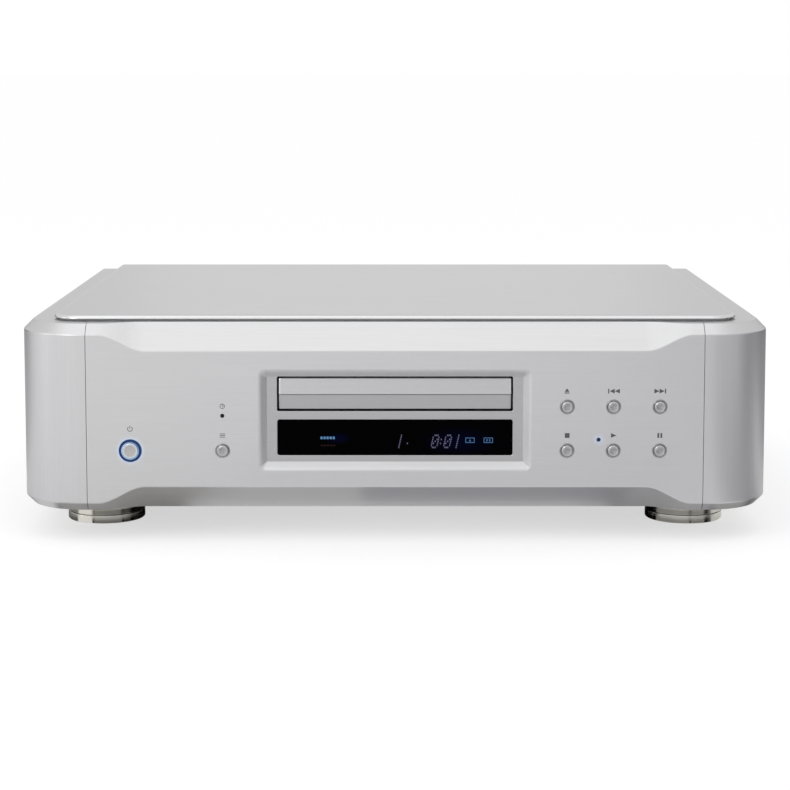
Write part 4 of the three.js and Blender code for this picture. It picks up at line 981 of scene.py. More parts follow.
# Each point is (y, z, side), where side is 1 at the front, which the end bevels take back
bar_profile = [
    (TRAY_BACK_Y, TRAY_FRONT_LOW, 0), (TRAY_EDGE_Y + 0.2, TRAY_FRONT_LOW, 1),
    (TRAY_EDGE_Y - 0.05, TRAY_FRONT_LOW + 0.25, 1), (LIP_Y + 0.6, GROOVE_LOW_Z - 0.1, 1),
    (LIP_Y + 0.7, GROOVE_LOW_Z, 1), (GROOVE_Y, GROOVE_LOW_Z, 1), (GROOVE_Y, LIP_Z, 1),
    (LIP_Y + 0.2, LIP_Z, 1), (LIP_Y, LIP_Z + 0.2, 1), (LIP_Y, LIP_Z + 0.4, 1),
    (TRAY_EDGE_Y - 0.4, TRAY_FRONT_HIGH - 1.6, 1), (TRAY_EDGE_Y - 0.25, TRAY_FRONT_HIGH - 0.9, 1),
    (TRAY_EDGE_Y, TRAY_FRONT_HIGH - 0.35, 1), (TRAY_EDGE_Y + 0.4, TRAY_FRONT_HIGH, 1),
    (TRAY_BACK_Y, TRAY_FRONT_HIGH, 0),
]
tray_metal = brushed_aluminium("brushed_anodised_aluminium_tray", "X", colour="#c0c0c1")
bar = add_piece("lipped_tray_bar", lofted([
    [(x, y + inset * side, z) for y, z, side in bar_profile]
    for x, inset in (
        (-TRAY_FRONT_HALF, BEVEL_DEPTH), (BEVEL_WIDTH - TRAY_FRONT_HALF, 0),
        (TRAY_FRONT_HALF - BEVEL_WIDTH, 0), (TRAY_FRONT_HALF, BEVEL_DEPTH),
    )
]), [tray_metal, recess_floor_painted_shade, bright_edge_painted_highlight], "brushed_aluminium", "tray_front", body="tray", sharp=8)
# The end bevels take the painted highlight, and the lower facet the recess floor's painted shade
for face in bar.data.polygons:
    if 0.2 < abs(face.normal.x) < 0.9 and face.center.z > LIP_Z * MM:
        face.material_index = 2
    elif face.normal.y < -0.7 and face.center.z < LIP_Z * MM:
        face.material_index = 1

# Window: a pane of black acrylic, coated against reflections, over the display module. The pane
# is the CAD node itself. A faint blue haze of the module's light is painted into it as emission.

PANE_Y = -170.8
# The haze is wider than it is high, so heights count this much more
HAZE_SQUASH = 2.5
window_acrylic, tree = new_material("coated_black_acrylic")
place = node(tree, "ShaderNodeTexCoord").outputs["Object"]
cloud = node(tree, "ShaderNodeTexNoise", {"Vector": place, "Scale": 60.0})
soft = node(tree, "ShaderNodeMapRange", {"Value": cloud, "To Min": 0.12, "To Max": 0.2})
painted_hazes = []
# Each haze is a painted glow: blue emission in the pane, fading from its middle
for x, z, reach, strength in ((-34, 60.6, 10, 0.012), (38, 58.8, 26, 0.008)):
    squashed = node(tree, "ShaderNodeMapping", {
        "Vector": place, "Location": (-x * MM, -PANE_Y * MM, -z * MM * HAZE_SQUASH),
        "Scale": (1, 1, HAZE_SQUASH),
    })
    distance = node(tree, "ShaderNodeVectorMath", {0: squashed}, operation="LENGTH")
    painted_hazes.append(node(tree, "ShaderNodeMapRange", {
        "Value": distance, "From Min": 0.0, "From Max": reach * MM,
        "To Min": strength, "To Max": 0.0,
    }, interpolation_type="SMOOTHSTEP"))
close_material(tree, "ShaderNodeBsdfPrincipled", {
    "Base Color": linear("#020203"), "Roughness": soft, "Specular IOR Level": 0.005, "IOR": 1.49,
    "Emission Color": linear("#3050ff"),
    "Emission Strength": node(tree, "ShaderNodeMath", dict(enumerate(painted_hazes)), operation="ADD"),
})
refinish(window_acrylic, "display_window")
# Matt ABS: black and dull, so that the module stays dark behind the pane
refinish(coated("matt_black_abs", "#0b0b0c", "#131314", 0.6, grain=0.4), "display_module")

# Display: a fluorescent panel shows a track number and a time as slanted rows of dots, and lit
# signs beside them. What is lit is drawn as thin pieces just proud of the pane.

LIT_DEPTHS = (PANE_Y - 0.03, PANE_Y + 0.05)
SLANT = tan(radians(12.5))
DIGIT_LOW = 55.2
DOT_STEP = (0.84, 1.19)
DOT_SIZE = (0.6 * MM, 0.08 * MM, 0.9 * MM)
SIGN_HALF = 2.7
SIGN_LINE = 0.4
SIGN_LOW = 57.9
SIGN_HIGH = 61.0
SIGN_INSET = 0.9
BLOCK_STEP = 1.78
BLOCK_WIDTH = 1.2
DIGITS = {
    "0": (" ### ", "#   #", "#  ##", "# # #", "##  #", "#   #", " ### "),
    "1": ("   # ", "   # ", "   # ", "   # ", "   # ", "   # ", "   # "),
    ":": ("  ", "  ", "# ", "  ", "# ", "  ", "  "),
    ".": ("  ", "  ", "  ", "  ", "# ", "  ", "  "),
}


# Lit phosphor: an even glow, slightly mottled by its mesh, so it looks dim rather than painted
def lit_phosphor(name, colour, strength):
    material, tree = new_material(name)
    place = node(tree, "ShaderNodeTexCoord").outputs["Object"]
    mottle = node(tree, "ShaderNodeTexNoise", {"Vector": place, "Scale": 1800.0})
    power = node(tree, "ShaderNodeMapRange", {
        "Value": mottle, "From Min": 0.35, "From Max": 0.65,
        "To Min": strength * 0.8, "To Max": strength,
    })
    close_material(tree, "ShaderNodeBsdfPrincipled", {
        "Base Color": linear("#050506"), "Roughness": 0.4, "Specular IOR Level": 0.1,
        "Emission Color": linear(colour), "Emission Strength": power,
    })
    return material


def slabs(form, depths, outlines):
    """Adds flat outlines of (x, z), each closed into a thin slab between two depths."""
    for outline in outlines:
        loft(form, [[(x, y, z) for x, z in outline] for y in depths])


def bar_outline(x0, x1, z0, z1):
    """A bar's four corners."""
    return [(x0, z0), (x1, z0), (x1, z1), (x0, z1)]


pale_phosphor = lit_phosphor("pale_violet_phosphor", "#9c9cc8", 0.36)
dot_group, given = new_group("display_dots", {"Dot Size": "Vector"})
dot = node(dot_group, "GeometryNodeMeshCube", {"Size": given["Dot Size"]})
close_group(dot_group, given["Geometry"], dot, pale_phosphor)
spots = []
for sign, left in (("1", -0.3), (".", 6.7), ("0", 21.0), (":", 26.0), ("0", 28.3), ("1", 33.2)):
    for row, line in enumerate(reversed(DIGITS[sign])):
        rise = row * DOT_STEP[1]
        for column, mark in enumerate(line):
            if mark == "#":
                x = left + column * DOT_STEP[0] + rise * SLANT
                spots.append((x, PANE_Y + 0.01, DIGIT_LOW + rise))
seed = points_mesh("dot_places", spots)
repeated("lit_digits", seed, dot_group, {"Dot Size": DOT_SIZE}, "blue_light")
# Two framed signs: a triangle in the first and a pair of bars in the second
form = bmesh.new()
for middle in (43.8, 54.5):
    outer = bar_outline(middle - SIGN_HALF, middle + SIGN_HALF, SIGN_LOW, SIGN_HIGH)
    inner = bar_outline(
        middle - SIGN_HALF + SIGN_LINE, middle + SIGN_HALF - SIGN_LINE,
        SIGN_LOW + SIGN_LINE, SIGN_HIGH - SIGN_LINE,
    )
    mitres = [(0, 1), (1, 2), (2, 3), (3, 0)]
    slabs(form, LIT_DEPTHS, [[outer[i], outer[j], inner[j], inner[i]] for i, j in mitres])
low = SIGN_LOW + SIGN_INSET
high = SIGN_HIGH - SIGN_INSET
slabs(form, LIT_DEPTHS, [
    [(43.1, low), (44.5, low), (43.8, high)],
    *[bar_outline(middle - 0.35, middle + 0.35, low, high) for middle in (53.7, 55.3)],
])
add_piece("lit_signs", form, [lit_phosphor("blue_phosphor", "#6090cc", 0.55)], "blue_light")
# A row of level blocks glows blue, and another below it is almost out
for name, left, low, high, phosphor in (
    ("lit_blocks", -43.5, 60.1, 61.6, lit_phosphor("bright_blue_phosphor", "#78b0e8", 0.6)),
    ("dim_blocks", -43.3, 55.9, 56.8, lit_phosphor("dim_red_phosphor", "#401418", 0.25)),
):
    form = bmesh.new()
    starts = [left + i * BLOCK_STEP for i in range(5)]
    slabs(form, LIT_DEPTHS, [bar_outline(x, x + BLOCK_WIDTH, low, high) for x in starts])
    add_piece(name, form, [phosphor], "blue_light")

# Buttons: caps turned from aluminium, with a rounded rim round a slightly dished face. The shank
# runs through the panel to a collar behind it, which keeps the cap in and presses the switch.

# Radii of the cap, of its rim's crest, of its face and of its collar, and the collar's depth
BUTTON_SIZES = (3.4, 2.45, 2.0, 5.4, 11.3)
POWER_SIZES = (4.7, 4.1, 3.7, 8, 12.6)
BUTTON_PROUD = 1.5
COLLAR = 1.0
RIM_STEPS = 10
RIM_FALL = 1.0
HOLLOW_STEPS = 5
HOLLOW_DEPTH = 0.42
HOLLOW_RISE = 0.3


def add_button(name, spot, sizes, rim_colour_and_glow, roughness, face_shade_colour, steps):
    """One turned button in a metal of its own, whose rings lie round its middle."""
    cap, crest, dish, collar, depth = sizes
    metal = turned_metal(
        f"turned_aluminium_{name}_button", (spot[0], 0, spot[1]), "XZ", rim_colour_and_glow, roughness, 0.1,
        dish=(dish, face_shade_colour),
    )
    hollow = [(
        dish * i / HOLLOW_STEPS,
        -BUTTON_PROUD + HOLLOW_DEPTH - HOLLOW_RISE * (i / HOLLOW_STEPS) ** 2,
    ) for i in range(HOLLOW_STEPS + 1)]
    over = [(
        crest + (cap - crest) * sin(i / RIM_STEPS * pi / 2),
        -BUTTON_PROUD + RIM_FALL * (1 - cos(i / RIM_STEPS * pi / 2)),
    ) for i in range(RIM_STEPS + 1)]
    form = turned(hollow + over + [
        (cap, depth), (collar, depth), (collar, depth + COLLAR), (0, depth + COLLAR),
    ], (spot[0], FACE_Y, spot[1]), "Y", steps)
    button = f"{name}_button"
    add_piece(f"turned_{name}_cap", form, [metal], "polished_steel", button, body=button)


# Each button's face is painted darker than its rim, as painted shade
for name, spot in BUTTON_PLACES.items():
    add_button(name, spot, BUTTON_SIZES, "#b6b6b8", 0.2, "#9e9e9f", steps=48)
# The power button's bluish rim is painted light from its lit ring
add_button("power", POWER_PLACE, POWER_SIZES, "#ccd6e2", 0.22, "#b2b0ae", steps=64)

# Power ring and lamps: clear blue acrylic let into the panel from behind and lit by diodes. The
# ring glows most at its inner rim, and the clock lamp is off.

RING_INNER = 4.85
RING_OUTER = 6.4
RING_FLANGE = 8
RING_BACK = 12
LAMP_RADIUS = 1.0
LAMP_DOME = 0.2
LAMP_DOME_STEPS = 6
LAMP_FLANGE = 2
LAMP_BACK = FRONT_WALL + 0.9


def lit_plastic(name, centre, stops):
    """Blue acrylic whose glow changes with the distance from a centre: stops are (mm, colour)."""
    material, tree = new_material(name)
    place = node(tree, "ShaderNodeTexCoord").outputs["Object"]
    reach = stops[-1][0]
    share = node(tree, "ShaderNodeMapRange", {
        "Value": from_axis(tree, place, centre, "XZ"), "From Min": 0.0, "From Max": reach * MM,
    })
    ramp = node(tree, "ShaderNodeValToRGB", {"Fac": share})
    elements = ramp.color_ramp.elements
    elements[0].position = stops[0][0] / reach
    elements[0].color = linear(stops[0][1])
    elements[1].position = 1.0
    elements[1].color = linear(stops[-1][1])
    for at, colour in stops[1:-1]:
        elements.new(at / reach).color = linear(colour)
    swirl = node(tree, "ShaderNodeTexNoise", {"Vector": place, "Scale": 700.0})
    rough = node(tree, "ShaderNodeMapRange", {"Value": swirl, "To Min": 0.22, "To Max": 0.32})
    close_material(tree, "ShaderNodeBsdfPrincipled", {
        "Base Color": linear("#050a14"), "Roughness": rough, "Specular IOR Level": 0.2,
        "Emission Color": ramp, "Emission Strength": 0.9,
    })
    return material


# The glow's middle sits a little off the ring's, to its lower left
ring_centre = (POWER_PLACE[0] - 0.14, 0, POWER_PLACE[1] - 0.1)
ring_plastic = lit_plastic("lit_blue_acrylic_ring", ring_centre, (
    (RING_INNER - 0.2, "#c8d8ea"), (RING_INNER + 0.15, "#a4bedc"), (RING_INNER + 0.35, "#3a669e"),
    (RING_INNER + 0.55, "#14366a"), (RING_OUTER - 0.1, "#0d2a54"), (RING_OUTER + 0.1, "#24487a"),
))
ring = turned([
    (RING_INNER, 0), (RING_OUTER, 0), (RING_OUTER, FRONT_WALL), (RING_FLANGE, FRONT_WALL),
    (RING_FLANGE, RING_BACK), (RING_INNER, RING_BACK), (RING_INNER, 0),
], (POWER_PLACE[0], FACE_Y, POWER_PLACE[1]), "Y", 96)
add_piece("lit_power_ring", ring, [ring_plastic], "blue_light", "power_ring")
for name, stops in (
    ("play", ((0, "#24345c"), (0.45, "#182442"), (1.05, "#10182c"))),
    ("clock", ((0, "#060607"), (1.05, "#040405"))),
):
    x, z = LAMP_PLACES[name]
    angles = [i / LAMP_DOME_STEPS * pi / 2 for i in range(LAMP_DOME_STEPS + 1)]
    form = turned([(LAMP_RADIUS * sin(a), -LAMP_DOME * cos(a)) for a in angles] + [
        (LAMP_RADIUS, FRONT_WALL), (LAMP_FLANGE, FRONT_WALL), (LAMP_FLANGE, LAMP_BACK),
        (0, LAMP_BACK),
    ], (x, FACE_Y, z), "Y", 24)
    plastic = lit_plastic(f"acrylic_{name}_lamp", (x, 0, z), stops)
    add_piece(f"domed_{name}_lamp", form, [plastic], "blue_light", f"{name}_lamp")

# Printed marks: plain signs in grey ink over each button, screen printed on the anodised face and
# slightly raised. Each is a thin slab sunk a little into the panel.

INK_DEPTHS = (FACE_Y - 0.03, FACE_Y + 0.05)
UPPER_MARK_Z = 89.1
LOWER_MARK_Z = 63.0
CLOCK_MARK_Z = 80.2
POWER_MARK_Z = 66.9
MARK = 1.4
THIN = 0.35


def arc_outlines(radius, width, start, end, steps):
    """A ring or part of one, as outlines between two angles in degrees."""
    turns = [radians(start + (end - start) * i / steps) for i in range(steps + 1)]
    return [[
        (r * cos(t), r * sin(t))
        for r, t in ((radius, a), (radius, b), (radius - width, b), (radius - width, a))
    ] for a, b in zip(turns, turns[1:])]


def sideways(base, tip):
    """A triangle that points from its base to a tip at its side."""
    return [(base, -MARK), (tip, 0), (base, MARK)]


# Screen printing ink: dark grey and matt, a little uneven where the mesh laid it
ink = coated("grey_printing_ink", "#3e3e40", "#5a5a5c", 0.6, grain=0.3, relief=0.1)
form = bmesh.new()
# Each mark is given by its middle and its outlines round it
for x, z, outlines in (
    (BUTTON_PLACES["open"][0] - 0.3, UPPER_MARK_Z, [
        [(-MARK, -0.4), (MARK, -0.4), (0, MARK + 0.2)], bar_outline(-MARK, MARK, -MARK, -0.8),
    ]),
    *[(BUTTON_PLACES[name][0], UPPER_MARK_Z, [
        sideways(-3.5 * way, -0.5 * way), sideways(-0.5 * way, 2.5 * way),
        bar_outline(3 * way - THIN, 3 * way + THIN, -MARK, MARK),
    ]) for name, way in (("previous", -1), ("next", 1))],
    (BUTTON_PLACES["stop"][0], LOWER_MARK_Z, [bar_outline(-MARK, MARK, -MARK, MARK)]),
    (BUTTON_PLACES["play"][0], LOWER_MARK_Z, [sideways(-MARK, 1.8)]),
    (BUTTON_PLACES["pause"][0], LOWER_MARK_Z, [
        bar_outline(-MARK, -THIN, -MARK, MARK), bar_outline(THIN, MARK, -MARK, MARK),
    ]),
    (BUTTON_PLACES["mode"][0], LOWER_MARK_Z, [
        bar_outline(-1.6, 1.6, line - 0.2, line + 0.2) for line in (-0.95, 0, 0.95)
    ]),
    (LAMP_PLACES["clock"][0], CLOCK_MARK_Z, [
        *arc_outlines(1.5, 0.35, 0, 360, 24),
        bar_outline(-0.16, 0.16, -0.1, 1.0), bar_outline(-0.1, 0.8, -0.16, 0.16),
    ]),
    (POWER_PLACE[0], POWER_MARK_Z, [
        *arc_outlines(1.6, 0.38, 125, 415, 20), bar_outline(-0.19, 0.19, 0.1, 1.9),
    ]),
):
    slabs(form, INK_DEPTHS, [[(x + a, z + b) for a, b in outline] for outline in outlines])
add_piece("printed_marks", form, [ink], "black_plastic")

# Disc mechanism: a black moulded base with its rails, a steel bridge with the clamp, the loading
# train, and the traverse with its motor, rods and pickup. These keep their CAD shapes.

# Acetal: off-white and waxy, as gears and clamps are moulded in it
acetal = coated("natural_acetal", "#d8d6cd", "#e6e4dc", 0.42, grain=1.5, relief=0.05)
# Rubber: near black and quite matt
rubber = coated("belt_rubber", "#101010", "#1c1c1b", 0.8, grain=0.4, relief=0.2)
# Nickel plated steel: a warm bright shell, as on small motors
nickel = coated("nickel_plated_steel", "#b9b5aa", "#cac7bf", 0.26, grain=3, relief=0.03, metallic=1.0)
# Cast zinc: a darker grey, slightly rough from the mould
cast_zinc = coated("die_cast_zinc", "#7d7f82", "#909295", 0.45, grain=0.8, relief=0.15, metallic=1.0)
# Ground steel: bright and smooth, for what slides and turns
bright_rod = coated("ground_steel_rod", "#c4c6c8", "#d6d7d8", 0.15, grain=2, relief=0.02, metallic=1.0)
# Solder mask: deep green with a slight gloss and paler patches
board_green = coated("green_solder_mask", "#0f4a2a", "#1a6038", 0.35, grain=2.5, relief=0.12, speck=0.2)
refinish(black_abs, "mechanism_base", "platter")
refinish(acetal, "clamp", "drive_gear", "pulley_gear", "motor_pulley")
refinish(zinc, "clamp_bridge", "traverse_frame")
refinish(rubber, "loading_belt")
refinish(nickel, "loading_motor", "spindle_motor", "sled_motor")
refinish(bright_rod, "guide_rod_left", "guide_rod_right", "lead_screw")
refinish(cast_zinc, "pickup_sled")
refinish(board_green, "display_board", "key_board_left", "key_board_right")

# Electronics: the transformer sits in a black lacquered can. Each board is green below, and what
# stands on it takes the colour of its largest parts.

BOARD_TOP = 31.6


def populated_board(name, colour, roughness, metallic):
    """Solder mask up to the board's top, and the parts' own finish above it."""
    material, tree = new_material(name)
    place = node(tree, "ShaderNodeTexCoord").outputs["Object"]
    split = node(tree, "ShaderNodeSeparateXYZ", {"Vector": place})
    above = node(tree, "ShaderNodeMath", {
        0: split.outputs["Z"], 1: (BOARD_TOP + 0.05) * MM,
    }, operation="GREATER_THAN")
    # Tracks 2 mm apart show as paler lines under the mask
    tracks = node(tree, "ShaderNodeTexBrick", {
        "Vector": place, "Scale": 120.0, "Color1": linear("#0f4a2a"),
        "Color2": linear("#135332"), "Mortar": linear("#2a7a4c"), "Mortar Size": 0.03,
    })
    shade = node(tree, "ShaderNodeMix", {
        0: above, 6: tracks, 7: linear(colour),
    }, data_type="RGBA")
    metal = node(tree, "ShaderNodeMath", {0: above, 1: metallic}, operation="MULTIPLY")
    grain = node(tree, "ShaderNodeTexNoise", {"Vector": place, "Scale": 400.0})
    rough = node(tree, "ShaderNodeMapRange", {
        "Value": grain, "To Min": roughness - 0.05, "To Max": roughness + 0.05,
    })
    close_material(tree, "ShaderNodeBsdfPrincipled", {
        "Base Color": shade, "Metallic": metal, "Roughness": rough,
    })
    return material


# Lacquer: black and fairly glossy, with a very fine orange peel
lacquer = coated("black_lacquered_steel", "#0e0e10", "#17171a", 0.3, grain=1.2, relief=0.08)
refinish(lacquer, "transformer")
for name, colour, roughness, metallic in (
    ("power_board", "#1a2236", 0.35, 0.0), ("audio_board", "#1d1d20", 0.4, 0.0),
    ("digital_board", "#b4b5b4", 0.35, 1.0),
):
    refinish(populated_board(name + "_parts", colour, roughness, metallic), name)

# Rear panel: folded steel with a fine textured black paint, let into channels in the side walls.

# Textured paint: black and nearly matt, with a fine even grain
black_paint = coated("fine_textured_black_paint", "#161617", "#242426", 0.48, grain=0.7, relief=0.35)
refinish(black_paint, "rear_panel")

# Mains inlet: black nylon with a chamfered socket and three nickelled blades, screwed to the panel
# through its flange.

PANEL_Y = 158
INLET_PLACE = (-165, 62)
INLET_FLANGE = (25, 14, 3)
INLET_CAVITY = (12.2, 8.6)
INLET_CUP = (14, 11)
INLET_CORNER = 3.6
INLET_MOUTH_Y = PANEL_Y + INLET_FLANGE[2]
INLET_FLOOR_Y = PANEL_Y - 13
INLET_BACK_Y = PANEL_Y - 24
NYLON_SHARP = 25


def inlet_outline(half_x, half_z, corner, y):
    """The socket's outline, with its two upper corners cut off."""
    x, z = INLET_PLACE
    return [(x + a, y, z + b) for a, b in (
        (half_x, -half_z + 1), (half_x - 1, -half_z), (1 - half_x, -half_z), (-half_x, 1 - half_z),
        (-half_x, half_z - corner), (corner - half_x, half_z), (half_x - corner, half_z),
        (half_x, half_z - corner),
    )]


def flange(place, shape, corner, edge):
    """A plate on the rear panel with an eased edge: shape is its two half sizes and thickness."""
    half_x, half_z, thick = shape
    low = place[1] - half_z
    high = place[1] + half_z
    face_y = PANEL_Y + thick
    return lofted([
        rounded(half_x, low, high, corner, PANEL_Y, middle=place[0]),
        rounded(half_x, low, high, corner, face_y - edge, middle=place[0]),
        rounded(
            half_x - edge, low + edge, high - edge, corner - edge, face_y, middle=place[0],
        ),
    ])


# Nylon: black with a slight sheen, smoother than the tray's plastic
nylon = coated("black_nylon", "#0d0d0e", "#161617", 0.38, grain=0.8, relief=0.12)
inlet = add_piece(
    "nylon_mains_inlet", flange(INLET_PLACE, INLET_FLANGE, corner=4, edge=0.5), [nylon],
    "black_plastic", "mains_inlet", sharp=NYLON_SHARP,
)
machined(inlet, [lofted([
    inlet_outline(INLET_CAVITY[0] + 0.8, INLET_CAVITY[1] + 0.8, 4, INLET_MOUTH_Y + 0.4),
    inlet_outline(*INLET_CAVITY, INLET_CORNER, INLET_MOUTH_Y - 0.6),
    inlet_outline(*INLET_CAVITY, INLET_CORNER, PANEL_Y - 1),
])], NYLON_SHARP)
cup = add_piece("nylon_inlet_cup", lofted([
    inlet_outline(*INLET_CUP, INLET_CORNER, y) for y in (INLET_BACK_Y, PANEL_Y + 0.2)
]), [nylon], "black_plastic", "mains_inlet", sharp=NYLON_SHARP)
machined(cup, [lofted([
    inlet_outline(*INLET_CAVITY, INLET_CORNER, y) for y in (INLET_FLOOR_Y, PANEL_Y + 1)
])], NYLON_SHARP)
form = bmesh.new()
for a, b in ((-7, -2), (7, -2), (0, 3)):
    x = INLET_PLACE[0] + a
    z = INLET_PLACE[1] + b
    loft(form, [
        [(x + u * s, y, z + v * s) for u, v in bar_outline(-1, 1, -2.5, 2.5)]
        for y, s in ((INLET_FLOOR_Y - 0.5, 1), (PANEL_Y - 0.8, 1), (PANEL_Y, 0.7))
    ])
add_piece("nickel_inlet_blades", form, [nickel], "polished_steel", "mains_inlet")

# Balanced outputs: nylon chassis connectors, each with a round shell let through the panel, a
# flange held by two screws, and three gold plated pins.

SHELL_RADIUS = 11.5
SHELL_BORE = 9.3
SHELL_FLANGE = (13, 15.5, 2)
SHELL_FLOOR_Y = PANEL_Y - 15
SHELL_BACK_Y = PANEL_Y - 18
SOCKET_X = {"left": 112, "right": 160}
MIDDLE_SOCKET_X = 58
LOW_SOCKET_Z = 58
HIGH_SOCKET_Z = 98
# Gold plating: a warm bright skin over brass
gold = coated("gold_plated_brass", "#d8ac4e", "#e6c272", 0.2, grain=2, relief=0.02, metallic=1.0)
for name, x in SOCKET_X.items():
    z = LOW_SOCKET_Z
    output = "balanced_output_" + name
    piece = add_piece(
        "nylon_balanced_flange_" + name, flange((x, z), SHELL_FLANGE, corner=3, edge=0.4),
        [nylon], "black_plastic", output, sharp=NYLON_SHARP,
    )
    thick = SHELL_FLANGE[2]
    machined(piece, [turned([
        (0, -1), (SHELL_BORE, -1), (SHELL_BORE, thick - 0.5), (SHELL_BORE + 1, thick + 0.5),
        (0, thick + 0.5),
    ], (x, PANEL_Y, z), "Y")], NYLON_SHARP)
    shell = turned([
        (0, SHELL_BACK_Y), (SHELL_RADIUS, SHELL_BACK_Y), (SHELL_RADIUS, PANEL_Y + 0.2),
        (SHELL_BORE, PANEL_Y + 0.2), (SHELL_BORE, SHELL_FLOOR_Y), (0, SHELL_FLOOR_Y),
    ], (x, 0, z), "Y")
    add_piece("nylon_balanced_shell_" + name, shell, [nylon], "black_plastic", output)
    pins = bmesh.new()
    for a, b in ((-5, 2), (5, 2), (0, -5)):
        lathe(pins, [
            (0, SHELL_FLOOR_Y - 0.5), (1.2, SHELL_FLOOR_Y - 0.5), (1.2, PANEL_Y - 2),
            (1.0, PANEL_Y - 1.3), (0.5, PANEL_Y - 1), (0, PANEL_Y - 1),
        ], (x + a, 0, z + b), "Y", 20)
    add_piece("gold_balanced_pins_" + name, pins, [gold], "gold", output)

# Phono sockets: gold plated barrels with a flanged nut, an insulating ring under it and a white
# liner inside round the centre contact. The digital output is the same socket.

JACK_REACH = 18.5
JACK_RADIUS = 4.2
JACK_BORE = 1.7
JACK_BACK = -12
LINER_RADIUS = 3.25
LINER_BORE = 1.3
LINER_BACK = -11
barrel_profile = [
    (JACK_BORE, JACK_REACH - 8), (3.3, JACK_REACH - 8), (3.3, JACK_REACH - 0.4),
    (3.6, JACK_REACH), (3.9, JACK_REACH - 0.1), (JACK_RADIUS, JACK_REACH - 0.5),
    (JACK_RADIUS, 8.2), (5.2, 7), (6, 7), (7, 6), (7, 2.2), (JACK_RADIUS, 2),
    (JACK_RADIUS, JACK_BACK), (JACK_BORE, JACK_BACK), (JACK_BORE, JACK_REACH - 8),
]
ring_profile = [
    (JACK_RADIUS, 0), (8, 0), (8, 1.6), (7.6, 2.1), (JACK_RADIUS, 2.1), (JACK_RADIUS, 0),
]
liner_profile = [
    (LINER_BORE, LINER_BACK), (LINER_RADIUS, LINER_BACK), (LINER_RADIUS, JACK_REACH - 1.8),
    (2.9, JACK_REACH - 1.5), (1.9, JACK_REACH - 1.5), (JACK_BORE, JACK_REACH - 1.8),
    (LINER_BORE, JACK_REACH - 7.5), (LINER_BORE, LINER_BACK),
]
for name, socket, x, ring_colour in (
    ("left", "phono_output_left", SOCKET_X["left"], "#e2e0da"),
    ("right", "phono_output_right", SOCKET_X["right"], "#8e1416"),
    ("digital", "digital_output", MIDDLE_SOCKET_X, "#1b1b1c"),
):
    # Moulded plastic: one plain colour that tells the sockets apart, with a faint grain
    plastic = coated(f"moulded_ring_{name}", ring_colour, ring_colour, 0.4, grain=0.8, relief=0.1)
    for part, profile, material, slot, steps in (
        ("gold_phono_barrel_", barrel_profile, gold, "gold", 48),
        ("moulded_phono_ring_", ring_profile, plastic, "white_plastic", 48),
        ("acetal_phono_liner_", liner_profile, acetal, "white_plastic", 40),
    ):
        form = turned(profile, (x, PANEL_Y, HIGH_SOCKET_Z), "Y", steps)
        add_piece(part + name, form, [material], slot, socket, sharp=25)

# Clock input: a nickelled bayonet socket with a thin nut, two lugs and a gold centre contact.

CLOCK_PLACE = (MIDDLE_SOCKET_X, PANEL_Y, LOW_SOCKET_Z)
LUG_REACH = 4.9
barrel = turned([
    (3.9, 5.5), (3.9, 14.2), (4.2, 14.5), (4.6, 14.5), (4.8, 14.2), (4.8, 3), (4.8, -12),
    (1.6, -12), (1.6, 5.5), (3.9, 5.5),
], CLOCK_PLACE, "Y", 48)
for lug_x in (CLOCK_PLACE[0] + LUG_REACH, CLOCK_PLACE[0] - LUG_REACH):
    lathe(barrel, [
        (0, 10.2), (0.7, 10.2), (0.9, 10.6), (0.9, 11.8), (0.7, 12.2), (0, 12.2),
    ], (lug_x, PANEL_Y, LOW_SOCKET_Z), "Y", 16)
add_piece("nickel_clock_barrel", barrel, [nickel], "polished_steel", "clock_input", sharp=25)
sections = []
for y, reach in ((0, 9), (2.6, 9), (3, 8.6)):
    sections.append([
        (CLOCK_PLACE[0] + reach * cos(pi * i / 3), PANEL_Y + y, LOW_SOCKET_Z + reach * sin(pi * i / 3))
        for i in range(6)
    ])
add_piece(
    "nickel_clock_nut", lofted(sections), [nickel], "polished_steel", "clock_input", sharp=15,
)
contact = turned([
    (0, -12), (1.5, -12), (1.5, 5.2), (0.7, 5.2), (0.7, 11.6), (0.3, 12), (0, 12),
], CLOCK_PLACE, "Y", 24)
add_piece("gold_clock_contact", contact, [gold], "gold", "clock_input")

# Fasteners: black socket head screws hold the rear panel, the connectors and the bottom plate.
# Each head has a hexagonal key hole.

CROWN_SHARE = 0.8
KEY_SHARE = 0.45
HEAD_SUNK = 0.02
PANEL_SCREW_Y = PANEL_Y - HEAD_SUNK
BOTTOM_SCREW_Z = SHELL_LOW + HEAD_SUNK
FACING_REAR = (radians(-90), 0, 0)
FACING_DOWN = (radians(180), 0, 0)
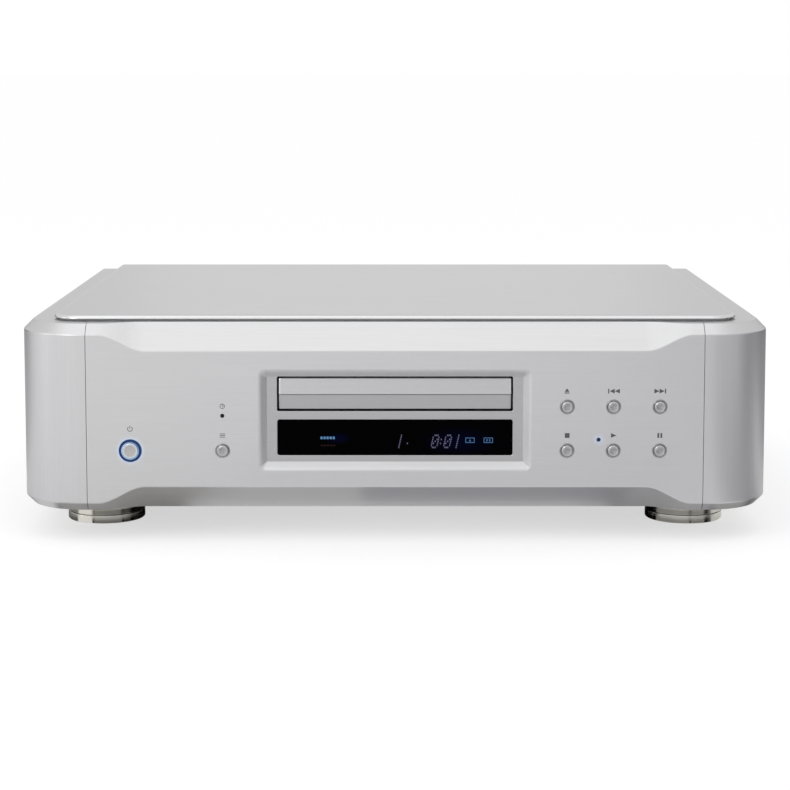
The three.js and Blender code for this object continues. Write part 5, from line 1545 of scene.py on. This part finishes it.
# Black oxide: dark and slightly glossy, with some of the steel's own shine
screw_black = coated(
    "black_oxide_steel", "#19191b", "#2a2a2c", 0.32, grain=0.8, relief=0.08, metallic=0.6,
)
screw_group, given = new_group("socket_head_screws", {
    "Head Radius": "Float", "Head Height": "Float", "Key Radius": "Float", "Turn": "Vector",
})
crown = node(screw_group, "ShaderNodeMath", {
    0: given["Head Radius"], 1: CROWN_SHARE,
}, operation="MULTIPLY")
head = node(screw_group, "GeometryNodeMeshCone", {
    "Vertices": 32, "Radius Top": crown, "Radius Bottom": given["Head Radius"],
    "Depth": given["Head Height"],
})
key = node(screw_group, "GeometryNodeMeshCylinder", {
    "Vertices": 6, "Radius": given["Key Radius"], "Depth": given["Head Height"],
})
lift = node(screw_group, "ShaderNodeCombineXYZ", {"Z": given["Head Height"]})
key_place = node(screw_group, "GeometryNodeTransform", {"Geometry": key, "Translation": lift})
cut_head = node(screw_group, "GeometryNodeMeshBoolean", {
    "Mesh 1": head, "Mesh 2": key_place,
}, operation="DIFFERENCE")
close_group(screw_group, given["Geometry"], cut_head, screw_black, Rotation=given["Turn"])
for name, spots, radius, height, turn in (
    ("panel", [
        *[(x, PANEL_SCREW_Y, z) for x in (-206, 206) for z in (38, 108)],
        *[(x, PANEL_SCREW_Y, z) for x in (-110, 0, 110) for z in (25, 122)],
    ], 2.8, 1.6, FACING_REAR),
    ("inlet", [
        (INLET_PLACE[0] + a, INLET_MOUTH_Y - HEAD_SUNK, INLET_PLACE[1]) for a in (-20, 20)
    ], 2.4, 1.2, FACING_REAR),
    ("connector", [
        (x + a, PANEL_Y + SHELL_FLANGE[2] - HEAD_SUNK, LOW_SOCKET_Z + b)
        for x in SOCKET_X.values() for a, b in ((-9.8, 12.2), (9.8, -12.2))
    ], 1.8, 1.0, FACING_REAR),
    ("bottom", [
        *[(x, y, BOTTOM_SCREW_Z) for x in (-196, 196) for y in (-60, 20, 70)],
        *[(x, -150, BOTTOM_SCREW_Z) for x in (-120, 0, 120)],
    ], 2.8, 1.6, FACING_DOWN),
):
    repeated(f"socket_head_{name}_screws", points_mesh("screw_places", spots), screw_group, {
        "Head Radius": radius * MM, "Head Height": height * MM,
        "Key Radius": radius * KEY_SHARE * MM, "Turn": turn,
    }, "black_steel")

size = {"cad": [list(c) for c in cad_box], "visual": [list(c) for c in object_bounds()]}
